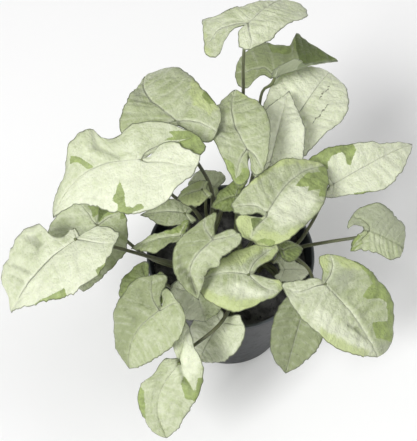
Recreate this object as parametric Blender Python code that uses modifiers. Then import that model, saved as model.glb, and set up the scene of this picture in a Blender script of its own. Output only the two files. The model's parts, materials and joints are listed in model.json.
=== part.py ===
"""Arrowhead plant with pale variegated leaves, standing in its dark nursery pot.

Metres, +Z up. The origin is the centre of the pot's underside, and the plant is seen
from the front along +Y. Sizes below are written in millimetres and turned to metres at
the end, when the meshes are made.
"""
import math

import bmesh
import bpy
import numpy as np
from mathutils import Matrix

MM = 0.001
GAP = 0.3

# Pot: a thin tapered nursery pot with a small bead round its rim
POT_HEIGHT = 117.0
POT_RIM_RADIUS = 75.0
POT_BASE_RADIUS = 56.0
POT_WALL = 1.8
POT_FLOOR = 3.0
RIM_BEAD = 1.0
RIM_BEAD_HEIGHT = 5.0
DRAIN_HOLES = 6
DRAIN_HOLE_RADIUS = 4.0
DRAIN_HOLE_RING = 38.0
ROUND_STEPS = 48

# Soil: filled to a finger's width below the rim, slightly domed
SOIL_EDGE = 98.0
SOIL_CENTRE = 101.0

# Leaves and leaf stalks
BLADE_THICKNESS = 0.8
SINUS_DEPTH = 4.0
VEIN_SLANT = 0.35
LONG_BLADE = 60.0
LOBE_REACH = 0.75
MARGIN_SAMPLES = 240
STALK_ROOT_RADIUS = 2.0
STALK_TIP_RADIUS = 1.3
STALK_STEPS = 10
STALK_GAP = 1.0
STEM_TAPER = 0.7

PALE_LEAF = (0.72, 0.78, 0.56, 1.0)
STALK_GREEN = (0.13, 0.15, 0.07, 1.0)
POT_GREY = (0.09, 0.10, 0.11, 1.0)
SOIL_BROWN = (0.03, 0.025, 0.02, 1.0)

# Each leaf is given by where its stalk meets the blade (base) and where its tip is, in the
# plant's own frame, and by its margin from the notch round each lobe to the tip: pairs of
# (distance out from the line of base and tip, distance along it), seen from base to tip.
# roll turns the blade about that line, bow arches the midrib, bend curves it to the right,
# drop lowers the lobes, curl the tip, rise and sag (left, right) lift and bend each half,
# and wave is the ruffle's (height, length, phase).
LEAVES = {}
USUAL_SHAPE = {
    "roll": 0.0,
    "bow": 8.0,
    "drop": 6.0,
    "rise": (0.15, 0.15),
    "sag": (0.004, 0.004),
    "wave": (1.5, 38.0, 0.0),
    "curl": 0.0,
    "bend": 0.0,
}


def leaf(name, base, tip, left, right, **shape):
    """Add one leaf to the plant's list, with the usual shape where nothing else is given."""
    LEAVES[name] = {**USUAL_SHAPE, "base": base, "tip": tip, "left": left, "right": right, **shape}


# The large leaves of the left side
leaf("leaf_left_bright", (-70, -7, 262), (-141, -28, 215), roll=-14, bow=7, bend=13,
     left=[(1, -9), (1, -16), (5, -22), (11, -28), (15, -34), (19, -38), (24, -32), (34, -16), (40, 2),
           (38, 17), (28, 33), (18, 43), (7, 57), (2, 76)],
     right=[(3, -9), (2, -17), (-4, -24), (-10, -30), (-14, -36), (-11, -43), (1, -42), (9, -36),
            (16, -31), (25, -16), (27, -2), (25, 10), (29, 18), (37, 21), (42, 27), (40, 38), (34, 47),
            (20, 62), (9, 80)],
     rise=(0.1, 0.25), sag=(0.002, 0.002), wave=(1.5, 34, 1))
leaf("leaf_upper_left", (-45, 31, 262), (-71, 88, 250), bend=-11,
     left=[(8, -7), (20, -15), (32, -12), (43, -1), (41, 12), (33, 24), (21, 36), (10, 50)],
     right=[(4, -8), (8, -17), (13, -21), (20, -22), (26, -19), (34, -11), (37, -1), (34, 8), (31, 18),
            (30, 32), (27, 48), (22, 60), (14, 68), (6, 69)],
     wave=(1.2, 40, 0))
leaf("leaf_left_large", (-124, -41, 205), (-180, -77, 150),
     left=[(1, -12), (4, -20), (11, -26), (20, -27), (28, -22), (33, -13), (38, 2), (38, 19), (35, 30),
           (28, 42), (18, 56), (8, 72)],
     right=[(7, -5), (10, 0), (9, 6), (14, 12), (24, 13), (34, 18), (38, 30), (35, 42), (34, 54),
            (31, 64), (20, 74), (10, 79)],
     wave=(2, 36, 0.5))
leaf("leaf_left_under", (-112, -10, 176), (-126, -47, 130), bow=4,
     left=[(5, -14), (14, -19), (24, -10), (30, 8), (25, 24), (17, 38), (9, 50)],
     right=[(8, -12), (19, -15), (32, -5), (40, 12), (34, 31), (22, 48)])
leaf("leaf_left_pennant", (-42, -32, 196), (-83, -33, 178), bow=4,
     left=[(3, -3), (7, -4), (9, 1), (8, 8), (12, 14), (13, 22), (8, 33)],
     right=[(5, -5), (12, -8), (14, -4), (10, 1), (6, 8), (4, 17), (4, 28)])

# The leaves that stand up at the back
leaf("leaf_top", (11, 99, 298), (40, 142, 278), bow=6, drop=5,
     left=[(4, -9), (6, -16), (5, -23), (2, -33), (5, -38), (11, -38), (20, -27), (35, -8), (24, 2),
           (17, 15), (10, 29), (4, 44)],
     right=[(-1, -8), (0, -13), (7, -19), (14, -20), (20, -11), (23, 1), (24, 17), (27, 32), (28, 41),
            (22, 54), (14, 62), (6, 60)],
     rise=(0, 0), sag=(0.005, 0.003), wave=(1, 30, 0))
leaf("leaf_back_green", (37, 107, 230), (94, 133, 222), roll=-4, bow=3,
     left=[(7, -8), (5, -17), (0, -24), (5, -28), (12, -29), (20, -27), (26, -24), (33, -19),
           (41, -11), (44, -2), (45, 14), (36, 26), (32, 32), (42, 42), (48, 49), (38, 51), (25, 52)],
     right=[(3, -6), (8, -9), (12, 0), (10, 13), (4, 27), (2, 44)],
     rise=(0, 2), sag=(0.002, 0), wave=(1, 40, 0))
leaf("leaf_back_round", (48, 65, 212), (90, 139, 204), roll=6, bow=5, curl=3,
     left=[(3, -14), (8, -20), (16, -15), (25, -4), (31, 17), (34, 40), (25, 65), (11, 80)],
     right=[(5, -12), (14, -20), (24, -17), (28, 5), (32, 20), (35, 37), (28, 60), (15, 76)],
     wave=(1, 30, 0))
leaf("leaf_back_left", (10, 12, 250), (2, 77, 246), bow=5, bend=-7,
     left=[(2, -10), (5, -23), (11, -25), (17, -13), (23, 3), (26, 20), (22, 38), (12, 52)],
     right=[(2, -10), (5, -20), (10, -17), (17, -2), (21, 20), (16, 42), (7, 55)])
leaf("leaf_back_middle", (30, 22, 221), (49, 96, 224), bow=5,
     left=[(3, -10), (8, -17), (14, -8), (16, 14), (16, 40), (7, 61)],
     right=[(4, -12), (11, -19), (20, -10), (25, 6), (23, 26), (15, 48), (6, 64)])

# The leaves of the right side
leaf("leaf_centre_right", (25, -34, 232), (75, 22, 216), roll=12, bow=6, bend=-7,
     left=[(5, -6), (9, -14), (17, -18), (24, -13), (26, 2), (26, 20), (25, 36), (19, 54), (11, 66)],
     right=[(2, -8), (5, -17), (11, -22), (19, -17), (24, -6), (27, 10), (25, 34), (15, 58)])
leaf("leaf_right_long", (82, 12, 205), (157, 66, 190), roll=16,
     left=[(5, -6), (13, -16), (26, -12), (28, 6), (24, 27), (18, 43), (10, 62)],
     right=[(2, -7), (5, -12), (9, -8), (14, 4), (20, 15), (25, 36), (20, 54), (10, 76)])
leaf("leaf_right_small", (109, -24, 190), (140, -31, 172), roll=10, bow=5, drop=3,
     left=[(2, -5), (1, -12), (-4, -15), (2, -16), (9, -14), (16, -11), (23, -5), (26, 1), (25, 9),
           (22, 18), (17, 28)],
     right=[(3, -5), (8, -8), (15, -9), (22, -8), (18, -2), (17, 7), (17, 14), (17, 22), (9, 32)])
leaf("leaf_front_right_large", (70, -76, 196), (113, -116, 150), bow=7,
     left=[(5, -8), (12, -17), (22, -12), (28, -2), (30, 12), (34, 34), (31, 54), (18, 70)],
     right=[(3, -9), (13, -15), (26, -22), (32, -10), (34, 8), (33, 25), (27, 42), (16, 58)])
leaf("leaf_front_right_low", (55, -84, 165), (43, -117, 120), bow=4,
     left=[(3, -8), (10, -12), (18, -4), (21, 10), (18, 28), (10, 44)],
     right=[(4, -9), (11, -13), (18, -3), (20, 12), (18, 34), (10, 48)])

# The leaves of the middle and the front
leaf("leaf_centre_front", (11, -70, 200), (-29, -73, 190), roll=-12, bow=4, bend=4,
     left=[(3, -12), (6, -22), (12, -24), (20, -14), (28, 8), (24, 23), (13, 36)],
     right=[(5, -8), (11, -18), (18, -25), (24, -22), (24, -10), (21, 5), (14, 20), (7, 32)])
leaf("leaf_centre_folded", (-16, -55, 226), (-27, -90, 196), bow=4,
     left=[(3, -6), (11, -10), (20, -6), (21, 4), (12, 15), (5, 28)],
     right=[(2, -10), (4, -20), (10, -15), (20, -2), (27, 10), (25, 24), (18, 36), (8, 44)])
leaf("leaf_front_under", (-30, -70, 172), (-22, -85, 150), bow=2,
     left=[(4, -8), (12, -10), (20, 2), (20, 15), (11, 24)],
     right=[(3, -9), (9, -15), (18, -10), (21, 0), (20, 11), (12, 20)])
leaf("leaf_front_left", (-57, -93, 185), (-83, -119, 135), bow=5, bend=7,
     left=[(3, -8), (8, -15), (17, -13), (24, 0), (25, 14), (18, 34), (8, 52)],
     right=[(6, -6), (12, -17), (23, -16), (31, -6), (34, 8), (32, 22), (27, 37), (19, 50)])
leaf("leaf_front_left_under", (-70, -60, 172), (-89, -80, 140), bow=3,
     left=[(3, -8), (8, -14), (17, -9), (23, 5), (17, 24), (8, 34)],
     right=[(3, -8), (8, -13), (14, -7), (17, 5), (15, 18), (9, 30)])
leaf("leaf_front_low", (-43, -122, 150), (-54, -160, 88), bow=4, bend=11,
     left=[(-4, -8), (-8, -15), (-10, -26), (-6, -33), (1, -32), (5, -25), (9, -16), (15, -12),
           (20, -4), (21, 6), (20, 17), (14, 36), (6, 58)],
     right=[(5, -4), (12, -2), (18, 12), (26, 23), (26, 36), (19, 55)],
     wave=(1.2, 30, 0))
leaf("leaf_front_oval", (-9, -79, 137), (-27, -97, 101), bow=3,
     left=[(3, -9), (10, -15), (21, -8), (25, 8), (20, 26), (9, 38)],
     right=[(4, -8), (12, -9), (20, 4), (20, 22), (12, 36)])

# The small leaves among the stalks
leaf("leaf_small_pale", (-40, 9, 167), (-79, 14, 157), bow=3,
     left=[(3, -8), (7, -11), (11, -5), (14, 8), (13, 20), (6, 31)],
     right=[(3, -7), (8, -10), (13, -4), (13, 6), (10, 18), (5, 29)])
leaf("leaf_small_olive", (-25, 0, 214), (-45, -5, 208), bow=2,
     left=[(3, -5), (8, -7), (13, 0), (15, 8), (8, 17)],
     right=[(3, -5), (7, -6), (9, 1), (7, 11)])
leaf("leaf_small_pointed", (2, -9, 218), (-18, -12, 206), bow=2,
     left=[(4, -5), (10, -8), (15, -2), (13, 8), (6, 17)],
     right=[(4, -6), (10, -12), (16, -6), (10, 6), (4, 16)])
leaf("leaf_inner_grey", (-15, 33, 172), (-36, 44, 166), bow=2,
     left=[(3, -6), (8, -9), (14, -4), (16, 6), (9, 20)],
     right=[(4, -5), (11, -6), (16, 0), (14, 10), (7, 22)])
leaf("leaf_inner_right", (45, -31, 140), (69, -28, 132), bow=2,
     left=[(4, -5), (10, -8), (12, 0), (8, 12)],
     right=[(3, -6), (8, -10), (13, 0), (13, 10), (6, 20)])
leaf("leaf_inner_olive", (39, -42, 190), (57, -30, 176), bow=2,
     left=[(4, -4), (10, -5), (13, 2), (7, 14)],
     right=[(3, -5), (9, -7), (13, 1), (8, 14)])

# Short leafy stems: foot in the soil, top, and radius
STEMS = {
    "stem_back": ((4, 16, 88), (6, 20, 132), 4.0),
    "stem_left": ((-14, 6, 88), (-18, 8, 140), 4.0),
    "stem_right": ((24, -6, 88), (34, -10, 128), 4.0),
    "stem_centre": ((8, -14, 88), (9, -18, 140), 4.0),
    "stem_front": ((0, -34, 88), (0, -44, 120), 4.0),
    "stem_far_left": ((-28, -16, 88), (-36, -20, 126), 4.0),
}

# Leaf stalks: the stem each grows from, how far up it, the points it passes through, and
# the length of its last stretch, which meets the blade square from below
STALKS = {
    "leaf_top": ("stem_back", 0.9, [(8, 56, 190), (9, 78, 235), (8, 84, 268)], 14),
    "leaf_back_green": ("stem_back", 0.8, [(20, 58, 155), (24, 92, 197), (27, 104, 214)], 8),
    "leaf_back_round": ("stem_back", 0.7, [(24, 38, 165)], 14),
    "leaf_back_middle": ("stem_back", 0.95, [(14, 26, 170)], 14),
    "leaf_left_bright": ("stem_left", 0.9, [(-34, 4, 184), (-49, -1, 208)], 14),
    "leaf_upper_left": ("stem_left", 0.95, [(-18, 20, 190)], 14),
    "leaf_back_left": ("stem_left", 0.8, [(-2, 16, 190)], 14),
    "leaf_small_olive": ("stem_left", 0.9, [(-22, 8, 170)], 14),
    "leaf_inner_grey": ("stem_left", 0.7, [(-13, 22, 155)], 14),
    "leaf_right_long": ("stem_right", 0.8, [(54, -11, 145), (68, -2, 172)], 14),
    "leaf_right_small": ("stem_right", 0.7, [(55, -10, 140), (80, -17, 162)], 14),
    "leaf_front_right_large": ("stem_right", 0.9, [(43, -24, 158), (59, -49, 176)], 14),
    "leaf_front_right_low": ("stem_right", 0.6, [(48, -50, 140)], 14),
    "leaf_inner_olive": ("stem_right", 0.9, [(36, -28, 160)], 14),
    "leaf_inner_right": ("stem_right", 0.6, [(38, -22, 126)], 8),
    "leaf_centre_right": ("stem_centre", 0.9, [(18, -28, 190)], 14),
    "leaf_centre_folded": ("stem_centre", 0.85, [(-4, -36, 180)], 14),
    "leaf_centre_front": ("stem_centre", 0.7, [(12, -46, 155)], 14),
    "leaf_small_pointed": ("stem_centre", 0.95, [(4, -12, 180)], 14),
    "leaf_front_low": ("stem_front", 0.9, [(-3, -72, 146), (-14, -93, 154)], 14),
    "leaf_front_left": ("stem_front", 0.7, [(-27, -62, 146), (-46, -82, 166)], 14),
    "leaf_front_left_under": ("stem_front", 0.5, [(-40, -52, 136)], 14),
    "leaf_front_oval": ("stem_front", 0.6, [(0, -66, 124)], 14),
    "leaf_front_under": ("stem_front", 0.8, [(-14, -58, 140)], 14),
    "leaf_left_large": ("stem_far_left", 0.9, [(-66, -30, 158), (-98, -37, 188)], 14),
    "leaf_left_under": ("stem_far_left", 0.8, [(-72, -18, 140)], 14),
    "leaf_left_pennant": ("stem_far_left", 0.7, [(-38, -28, 160)], 14),
    "leaf_small_pale": ("stem_far_left", 0.95, [(-37, -8, 150)], 14),
}


def unit(vector):
    return vector / np.linalg.norm(vector)


def smooth_curve(points, count):
    """Points evenly spaced along a Catmull-Rom curve through the given ones, and their lengths."""
    given = [np.array(point, float) for point in points]
    given = [2 * given[0] - given[1]] + given + [2 * given[-1] - given[-2]]
    dense = []
    for a, b, c, d in zip(given, given[1:], given[2:], given[3:]):
        for f in np.linspace(0, 1, 12, endpoint=False):
            dense.append(0.5 * (2 * b + (c - a) * f + (2 * a - 5 * b + 4 * c - d) * f**2
                                + (3 * b - 3 * c + d - a) * f**3))
    dense.append(given[-2])
    dense = np.array(dense)
    steps = np.linalg.norm(np.diff(dense, axis=0), axis=1)
    along = np.concatenate([[0.0], np.cumsum(steps)])
    lengths = np.linspace(0.0, along[-1], count + 1)
    axes = [np.interp(lengths, along, dense[:, k]) for k in range(dense.shape[1])]
    return np.stack(axes, 1), lengths


class Blade:
    """A blade's frame on its chord from base to tip, and its surface's height over that plane."""

    def __init__(self, shape):
        self.shape = shape
        self.base = np.array(shape["base"], float)
        chord = np.array(shape["tip"], float) - self.base
        self.length = np.linalg.norm(chord)
        self.along = chord / self.length
        up = np.array([0.0, 0.0, 1.0])
        normal = unit(up - up.dot(self.along) * self.along)
        across = np.cross(self.along, normal)
        roll = math.radians(shape["roll"])
        self.normal = normal * math.cos(roll) + across * math.sin(roll)
        self.across = across * math.cos(roll) - normal * math.sin(roll)

    def midrib(self, y):
        """How far to the right of the chord the midrib bends."""
        return self.shape["bend"] * math.sin(math.pi * min(max(y / self.length, 0.0), 1.0))

    def height(self, x, y):
        """Height over the chord plane, x across to the right and y along the chord."""
        shape = self.shape
        off = x - self.midrib(y)
        side = 1 if off > 0 else 0
        out = abs(off)
        share = y / self.length
        height = 4 * shape["bow"] * share
        if y > 0:
            height -= 4 * shape["bow"] * share**2
            height -= shape["curl"] * max(0.0, share - 0.6) ** 2 / 0.16
        else:
            height -= shape["drop"] * (y / 40) ** 2
        return height + shape["rise"][side] * out - shape["sag"][side] * out**2

    def margin(self, side):
        """The margin of one half, from the notch to the tip, with the length along it."""
        points = self.shape["right"] if side > 0 else self.shape["left"]
        return smooth_curve([(0, -SINUS_DEPTH), *points, (0, self.length)], MARGIN_SAMPLES)

    def under_base(self):
        """Where the stalk ends below the blade, and the direction square to the blade there."""
        square = unit(self.normal - self.along * 4 * self.shape["bow"] / self.length)
        return self.base - square * STALK_GAP, square


def lobe_vein(margin, side, split, run):
    """The place on a lobe's main vein, run 0 at the base and 1 near the lobe's end."""
    inner, outer = (margin[round(split * share)] * (side, 1)
                    for share in (LOBE_REACH * run / 2, 1 - LOBE_REACH * run / 2))
    rise = np.array([0.0, SINUS_DEPTH * (1 - run) ** 3])
    return inner + (outer - inner) * 0.5 * math.sin(math.pi / 2 * run) + rise


def blade_surface(blade):
    """Points and triangles of a blade's middle surface, in the blade's own frame.

    Rows of points run out to the margin, in each lobe from its main vein and beyond the
    lobes from the midrib. fan counts a lobe's rows, half of them on each side of its vein.
    """
    long_blade = blade.length > LONG_BLADE
    fan, steps, rings = (6, 8, 3) if long_blade else (4, 6, 2)
    wave_height, wave_length, wave_phase = blade.shape["wave"]
    points = []
    place_of = {}
    triangles = []
    for side in (1, -1):
        margin, lengths = blade.margin(side)
        split = next(i for i in range(20, MARGIN_SAMPLES)
                     if margin[i][1] > VEIN_SLANT * margin[i][0])
        picks = [round(split * i / fan) for i in range(fan + 1)]
        picks += [split + round((MARGIN_SAMPLES - split) * i / steps) for i in range(1, steps + 1)]
        starts = []
        for i in range(fan + steps + 1):
            if i < fan:
                starts.append(lobe_vein(margin, side, split, 1 - abs(2 * i / fan - 1)))
            else:
                rib = blade.length * (i - fan) / steps
                starts.append((blade.midrib(rib), rib))
        rows = []
        for i, (pick, (start_x, start_y)) in enumerate(zip(picks, starts)):
            edge_x, edge_y = margin[pick] * (side, 1)
            vein_key = ("rib", i) if i >= fan else ("lobe", side, min(i, fan - i)) if i else ("rib", fan)
            share = pick / MARGIN_SAMPLES
            fade = min(1.0, 5 * share, 5 * (1 - share))
            ruffle = wave_height * fade * math.sin(
                2 * math.pi * lengths[pick] / wave_length + wave_phase + side)
            row = []
            for ring in range(rings + 1):
                out = ring / rings
                on_vein = ring == 0 or i == fan + steps
                key = vein_key if on_vein else ("notch", ring) if i == 0 else (side, i, ring)
                if key not in place_of:
                    place_of[key] = len(points)
                    x = start_x + (edge_x - start_x) * out
                    y = start_y + (edge_y - start_y) * out
                    points.append((x, y, blade.height(x, y) + ruffle * out**2))
                row.append(place_of[key])
            rows.append(row)
        for near, far in zip(rows, rows[1:]):
            for ring in range(rings):
                corners = [near[ring], near[ring + 1], far[ring + 1], far[ring]]
                if side < 0:
                    corners.reverse()
                for triangle in (corners[:3], [corners[0], *corners[2:]]):
                    if len(set(triangle)) == 3:
                        triangles.append(triangle)
    return points, triangles


def new_material(name, colour, roughness):
    material = bpy.data.materials.new(name)
    material.use_nodes = True
    shader = material.node_tree.nodes["Principled BSDF"]
    shader.inputs["Base Color"].default_value = colour
    shader.inputs["Roughness"].default_value = roughness
    shader.inputs["Metallic"].default_value = 0.0
    return material


def add_object(name, mesh, collection, parent=None, material=None):
    made = bpy.data.objects.new(name, mesh)
    collection.objects.link(made)
    made.parent = parent
    if material:
        mesh.materials.append(material)
    return made


def add_cutter(name, made, collection, mark):
    """Cut the shape of made out of mark's object with a Boolean, and hide the cutter."""
    collection.objects.link(made)
    made.hide_render = True
    made.display_type = "WIRE"
    cut = mark.modifiers.new(name, "BOOLEAN")
    cut.operation = "DIFFERENCE"
    cut.object = made


def make_blade(name, shape, plant, parent, material):
    """One leaf blade: an arched, ruffled sheet in its own frame, given its thickness by Solidify."""
    blade = Blade(shape)
    points, triangles = blade_surface(blade)
    sheet = bmesh.new()
    corners = [sheet.verts.new(np.array(point) * MM) for point in points]
    for triangle in triangles:
        sheet.faces.new([corners[i] for i in triangle])
    bmesh.ops.recalc_face_normals(sheet, faces=sheet.faces)
    mesh = bpy.data.meshes.new(name)
    sheet.to_mesh(mesh)
    sheet.free()
    mesh.shade_smooth()
    made = add_object(name, mesh, plant, parent, material)
    frame = Matrix.Identity(4)
    for k, axis in enumerate((blade.across, blade.along, blade.normal, blade.base * MM)):
        for row in range(3):
            frame[row][k] = axis[row]
    made.matrix_world = frame
    wall = made.modifiers.new("thickness", "SOLIDIFY")
    wall.thickness = BLADE_THICKNESS * MM
    wall.offset = 0.0


def tube_mesh(name, path, radii, round_steps):
    """A closed tube mesh along a path of points, from a curve object with filled caps."""
    curve = bpy.data.curves.new(name, "CURVE")
    curve.dimensions = "3D"
    curve.bevel_depth = MM
    curve.bevel_resolution = round_steps
    curve.use_fill_caps = True
    spline = curve.splines.new("POLY")
    spline.points.add(len(path) - 1)
    for point, place, radius in zip(spline.points, path, radii):
        point.co = (*(np.array(place) * MM), 1.0)
        point.radius = radius
    guide = bpy.data.objects.new(name, curve)
    bpy.context.scene.collection.objects.link(guide)
    graph = bpy.context.evaluated_depsgraph_get()
    mesh = bpy.data.meshes.new_from_object(guide.evaluated_get(graph))
    bpy.data.objects.remove(guide)
    bpy.data.curves.remove(curve)
    welded = bmesh.new()
    welded.from_mesh(mesh)
    bmesh.ops.remove_doubles(welded, verts=welded.verts, dist=0.0001)
    bmesh.ops.recalc_face_normals(welded, faces=welded.faces)
    welded.to_mesh(mesh)
    welded.free()
    return mesh


def stalk_path(leaf_name):
    """A leaf stalk's route, from inside its stem to just below the blade."""
    stem_name, share, passes, last_stretch = STALKS[leaf_name]
    foot, top, _ = STEMS[stem_name]
    root = np.array(foot, float) + share * (np.array(top, float) - np.array(foot, float))
    blade = Blade(LEAVES[leaf_name])
    end, square = blade.under_base()
    below = end - square * last_stretch - blade.along * 4
    return smooth_curve([root, *passes, below, end], STALK_STEPS)[0]


def make_stem(name, plant, parent, material):
    """One short stem with its leaf stalks, joined into one solid."""
    foot, top, radius = STEMS[name]
    stem = add_object(name, tube_mesh(name, [foot, top], [radius, radius * STEM_TAPER], 2),
                      plant, parent, material)
    stalks = bpy.data.collections.new(f"{name}_stalks")
    bpy.context.scene.collection.children.link(stalks)
    for leaf_name, (stem_name, *_) in STALKS.items():
        if stem_name == name:
            path = stalk_path(leaf_name)
            radii = np.linspace(STALK_ROOT_RADIUS, STALK_TIP_RADIUS, len(path))
            add_object(f"{leaf_name}_stalk", tube_mesh(leaf_name, path, radii, 1), stalks)
    join = stem.modifiers.new("join", "BOOLEAN")
    join.operation = "UNION"
    join.operand_type = "COLLECTION"
    join.collection = stalks
    graph = bpy.context.evaluated_depsgraph_get()
    joined = bpy.data.meshes.new_from_object(stem.evaluated_get(graph))
    stem.modifiers.remove(join)
    stem.data = joined
    for stalk in list(stalks.objects):
        bpy.data.objects.remove(stalk)
    bpy.data.collections.remove(stalks)
    joined.shade_smooth()


def turned(name, profile, plant, parent, material):
    """A turned body from a profile of (radius, height), run down its outer side."""
    mesh = bpy.data.meshes.new(name)
    points = [(radius * MM, 0.0, height * MM) for radius, height in profile]
    mesh.from_pydata(points, [(i, i + 1) for i in range(len(points) - 1)], [])
    made = add_object(name, mesh, plant, parent, material)
    screw = made.modifiers.new("turn", "SCREW")
    screw.axis = "Z"
    screw.steps = ROUND_STEPS
    screw.render_steps = ROUND_STEPS
    screw.use_merge_vertices = True
    screw.merge_threshold = 0.00005
    screw.use_smooth_shade = True
    return made


def wall_radius(height):
    """Outer radius of the pot's tapered wall at a height."""
    wall_top = POT_RIM_RADIUS - RIM_BEAD
    share = height / (POT_HEIGHT - RIM_BEAD_HEIGHT)
    return POT_BASE_RADIUS + (wall_top - POT_BASE_RADIUS) * share


def make_pot(plant, cutters, parent, material):
    bead_foot = POT_HEIGHT - RIM_BEAD_HEIGHT
    inner_top = wall_radius(bead_foot) - POT_WALL
    profile = [
        (0.0, POT_FLOOR),
        (wall_radius(POT_FLOOR) - POT_WALL, POT_FLOOR),
        (inner_top, bead_foot),
        (inner_top + 0.2, POT_HEIGHT - 0.7),
        (inner_top + 0.9, POT_HEIGHT),
        (POT_RIM_RADIUS - 0.7, POT_HEIGHT),
        (POT_RIM_RADIUS, POT_HEIGHT - 0.8),
        (POT_RIM_RADIUS, bead_foot + 1.0),
        (wall_radius(bead_foot), bead_foot),
        (wall_radius(1.5), 1.5),
        (POT_BASE_RADIUS - 1.0, 0.0),
        (0.0, 0.0),
    ]
    pot = turned("pot", profile, plant, parent, material)
    for i in range(DRAIN_HOLES):
        turn = 2 * math.pi * (i + 0.45) / DRAIN_HOLES
        place = (DRAIN_HOLE_RING * math.cos(turn), DRAIN_HOLE_RING * math.sin(turn), POT_FLOOR / 2)
        drill = bmesh.new()
        bmesh.ops.create_cone(drill, cap_ends=True, segments=12, radius1=DRAIN_HOLE_RADIUS * MM,
                              radius2=DRAIN_HOLE_RADIUS * MM, depth=3 * POT_FLOOR * MM)
        mesh = bpy.data.meshes.new(f"drain_{i}")
        drill.to_mesh(mesh)
        drill.free()
        drain = bpy.data.objects.new(f"drain_{i}", mesh)
        drain.location = np.array(place) * MM
        add_cutter("drain", drain, cutters, pot)


def make_soil(plant, cutters, parent, material):
    """The soil fills the pot, with a plain hole for each stem."""
    floor = POT_FLOOR + GAP
    side = POT_WALL + GAP
    profile = [
        (0.0, SOIL_CENTRE),
        (0.6 * POT_BASE_RADIUS, SOIL_CENTRE - 0.8),
        (wall_radius(SOIL_EDGE) - side, SOIL_EDGE),
        (wall_radius(floor) - side, floor),
        (0.0, floor),
    ]
    soil = turned("soil", profile, plant, parent, material)
    for name, (foot, top, radius) in STEMS.items():
        foot = np.array(foot, float)
        rise = unit(np.array(top, float) - foot)
        ends = [foot - rise * GAP, foot + rise * (SOIL_CENTRE + 10 - foot[2])]
        mesh = tube_mesh(f"hole_{name}", ends, [radius + GAP, radius + GAP], 2)
        add_cutter("stem hole", bpy.data.objects.new(f"hole_{name}", mesh), cutters, soil)


def main():
    for old in list(bpy.data.objects):
        bpy.data.objects.remove(old)
    plant = bpy.data.collections.new("arrowhead_plant")
    cutters = bpy.data.collections.new("cutters")
    for collection in (plant, cutters):
        bpy.context.scene.collection.children.link(collection)
    parent = add_object("arrowhead_plant", None, plant)
    leaf_green = new_material("pale leaf", PALE_LEAF, 0.45)
    stalk_green = new_material("olive stalk", STALK_GREEN, 0.5)
    make_pot(plant, cutters, parent, new_material("dark pot", POT_GREY, 0.45))
    make_soil(plant, cutters, parent, new_material("dark soil", SOIL_BROWN, 0.95))
    for name in STEMS:
        make_stem(name, plant, parent, stalk_green)
    for name, shape in LEAVES.items():
        make_blade(name, shape, plant, parent, leaf_green)


main()
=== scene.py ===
"""Arrowhead plant with pale variegated leaves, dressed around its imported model.

Sizes in the tables are millimetres, as in the part's own source, and become metres when
the meshes are made. +Z is up, the origin is the centre of the pot's underside, and the
photograph was taken looking along +Y and down.
"""

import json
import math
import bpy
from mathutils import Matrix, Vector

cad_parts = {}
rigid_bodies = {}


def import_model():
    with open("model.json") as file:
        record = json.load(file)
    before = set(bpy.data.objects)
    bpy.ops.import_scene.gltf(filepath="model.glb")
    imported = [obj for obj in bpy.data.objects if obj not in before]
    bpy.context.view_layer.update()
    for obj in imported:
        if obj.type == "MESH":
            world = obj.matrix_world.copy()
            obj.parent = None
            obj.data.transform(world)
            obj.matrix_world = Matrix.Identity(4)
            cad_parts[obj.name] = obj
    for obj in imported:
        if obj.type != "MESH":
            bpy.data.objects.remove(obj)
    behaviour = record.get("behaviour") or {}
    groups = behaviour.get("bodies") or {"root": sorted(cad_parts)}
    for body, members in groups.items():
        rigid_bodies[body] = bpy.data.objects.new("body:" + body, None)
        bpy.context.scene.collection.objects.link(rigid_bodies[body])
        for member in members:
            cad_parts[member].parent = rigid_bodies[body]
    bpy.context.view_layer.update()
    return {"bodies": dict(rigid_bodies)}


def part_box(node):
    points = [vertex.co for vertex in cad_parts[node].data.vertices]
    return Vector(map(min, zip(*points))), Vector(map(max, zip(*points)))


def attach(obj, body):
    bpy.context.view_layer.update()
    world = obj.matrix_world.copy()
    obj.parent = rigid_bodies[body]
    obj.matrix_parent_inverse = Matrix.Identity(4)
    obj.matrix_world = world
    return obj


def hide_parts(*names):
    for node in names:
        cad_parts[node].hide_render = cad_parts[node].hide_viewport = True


bl_info = {
    "name": "Arrowhead Plant",
    "version": (1, 0, 0),
    "blender": (4, 5, 0),
    "location": "View3D > Sidebar > Plant",
    "description": "Builds a potted arrowhead plant with waved, variegated leaves",
    "category": "Add Mesh",
}

import bmesh
import bpy
import numpy as np
from bpy.props import FloatProperty, FloatVectorProperty, IntProperty, PointerProperty
from mathutils import Euler, Vector, noise

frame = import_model()
BODY = next(iter(frame["bodies"]))
POT_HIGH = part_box("pot")[1]
SOIL_LOW, SOIL_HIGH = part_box("soil")

MM = 0.001
SIDES = {"left": -1, "right": 1}

# Each leaf is given by where its stalk meets the blade (base) and where its tip is, and by
# its margin from the notch round each lobe to the tip: pairs of (distance out from the
# midrib, distance along it), seen from base to tip. roll turns the blade about its midrib,
# bow arches the midrib and bend bows it sideways, curl lowers the tip's last part, or raises
# it below 0, and drop lowers the lobes. rise (left, right) slopes each half up from the
# midrib, sag curves it down again, and lift raises its lobe. sweep (left, right) is how far
# the side veins curve towards the tip, and wave is the ruffle's (height, length, phase). A
# crease is (start, end, height, width), and a furrow where its height is below 0.
#
# tone is how green each half is (left, right), from 0, cream, to 1, sage, and darker beyond, where it
# also paints the shade that leaves lying under others sit in.
# ragged is how uneven the margin is, veined how clear the midrib's line is, and dark_rib how
# dark. A patch is (colour, side, outline), and its outline follows the veins: (how far along
# the margin, from the notch at 0 to the tip at 1, how far out from the midrib at 0 to the
# margin at 1). A scar is a line of dry spots, given by its (start, end). Creases and scars
# are placed by (distance to the right of the chord, distance along it).
OUTSIDE = 1.15
LEAVES = {}
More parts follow.
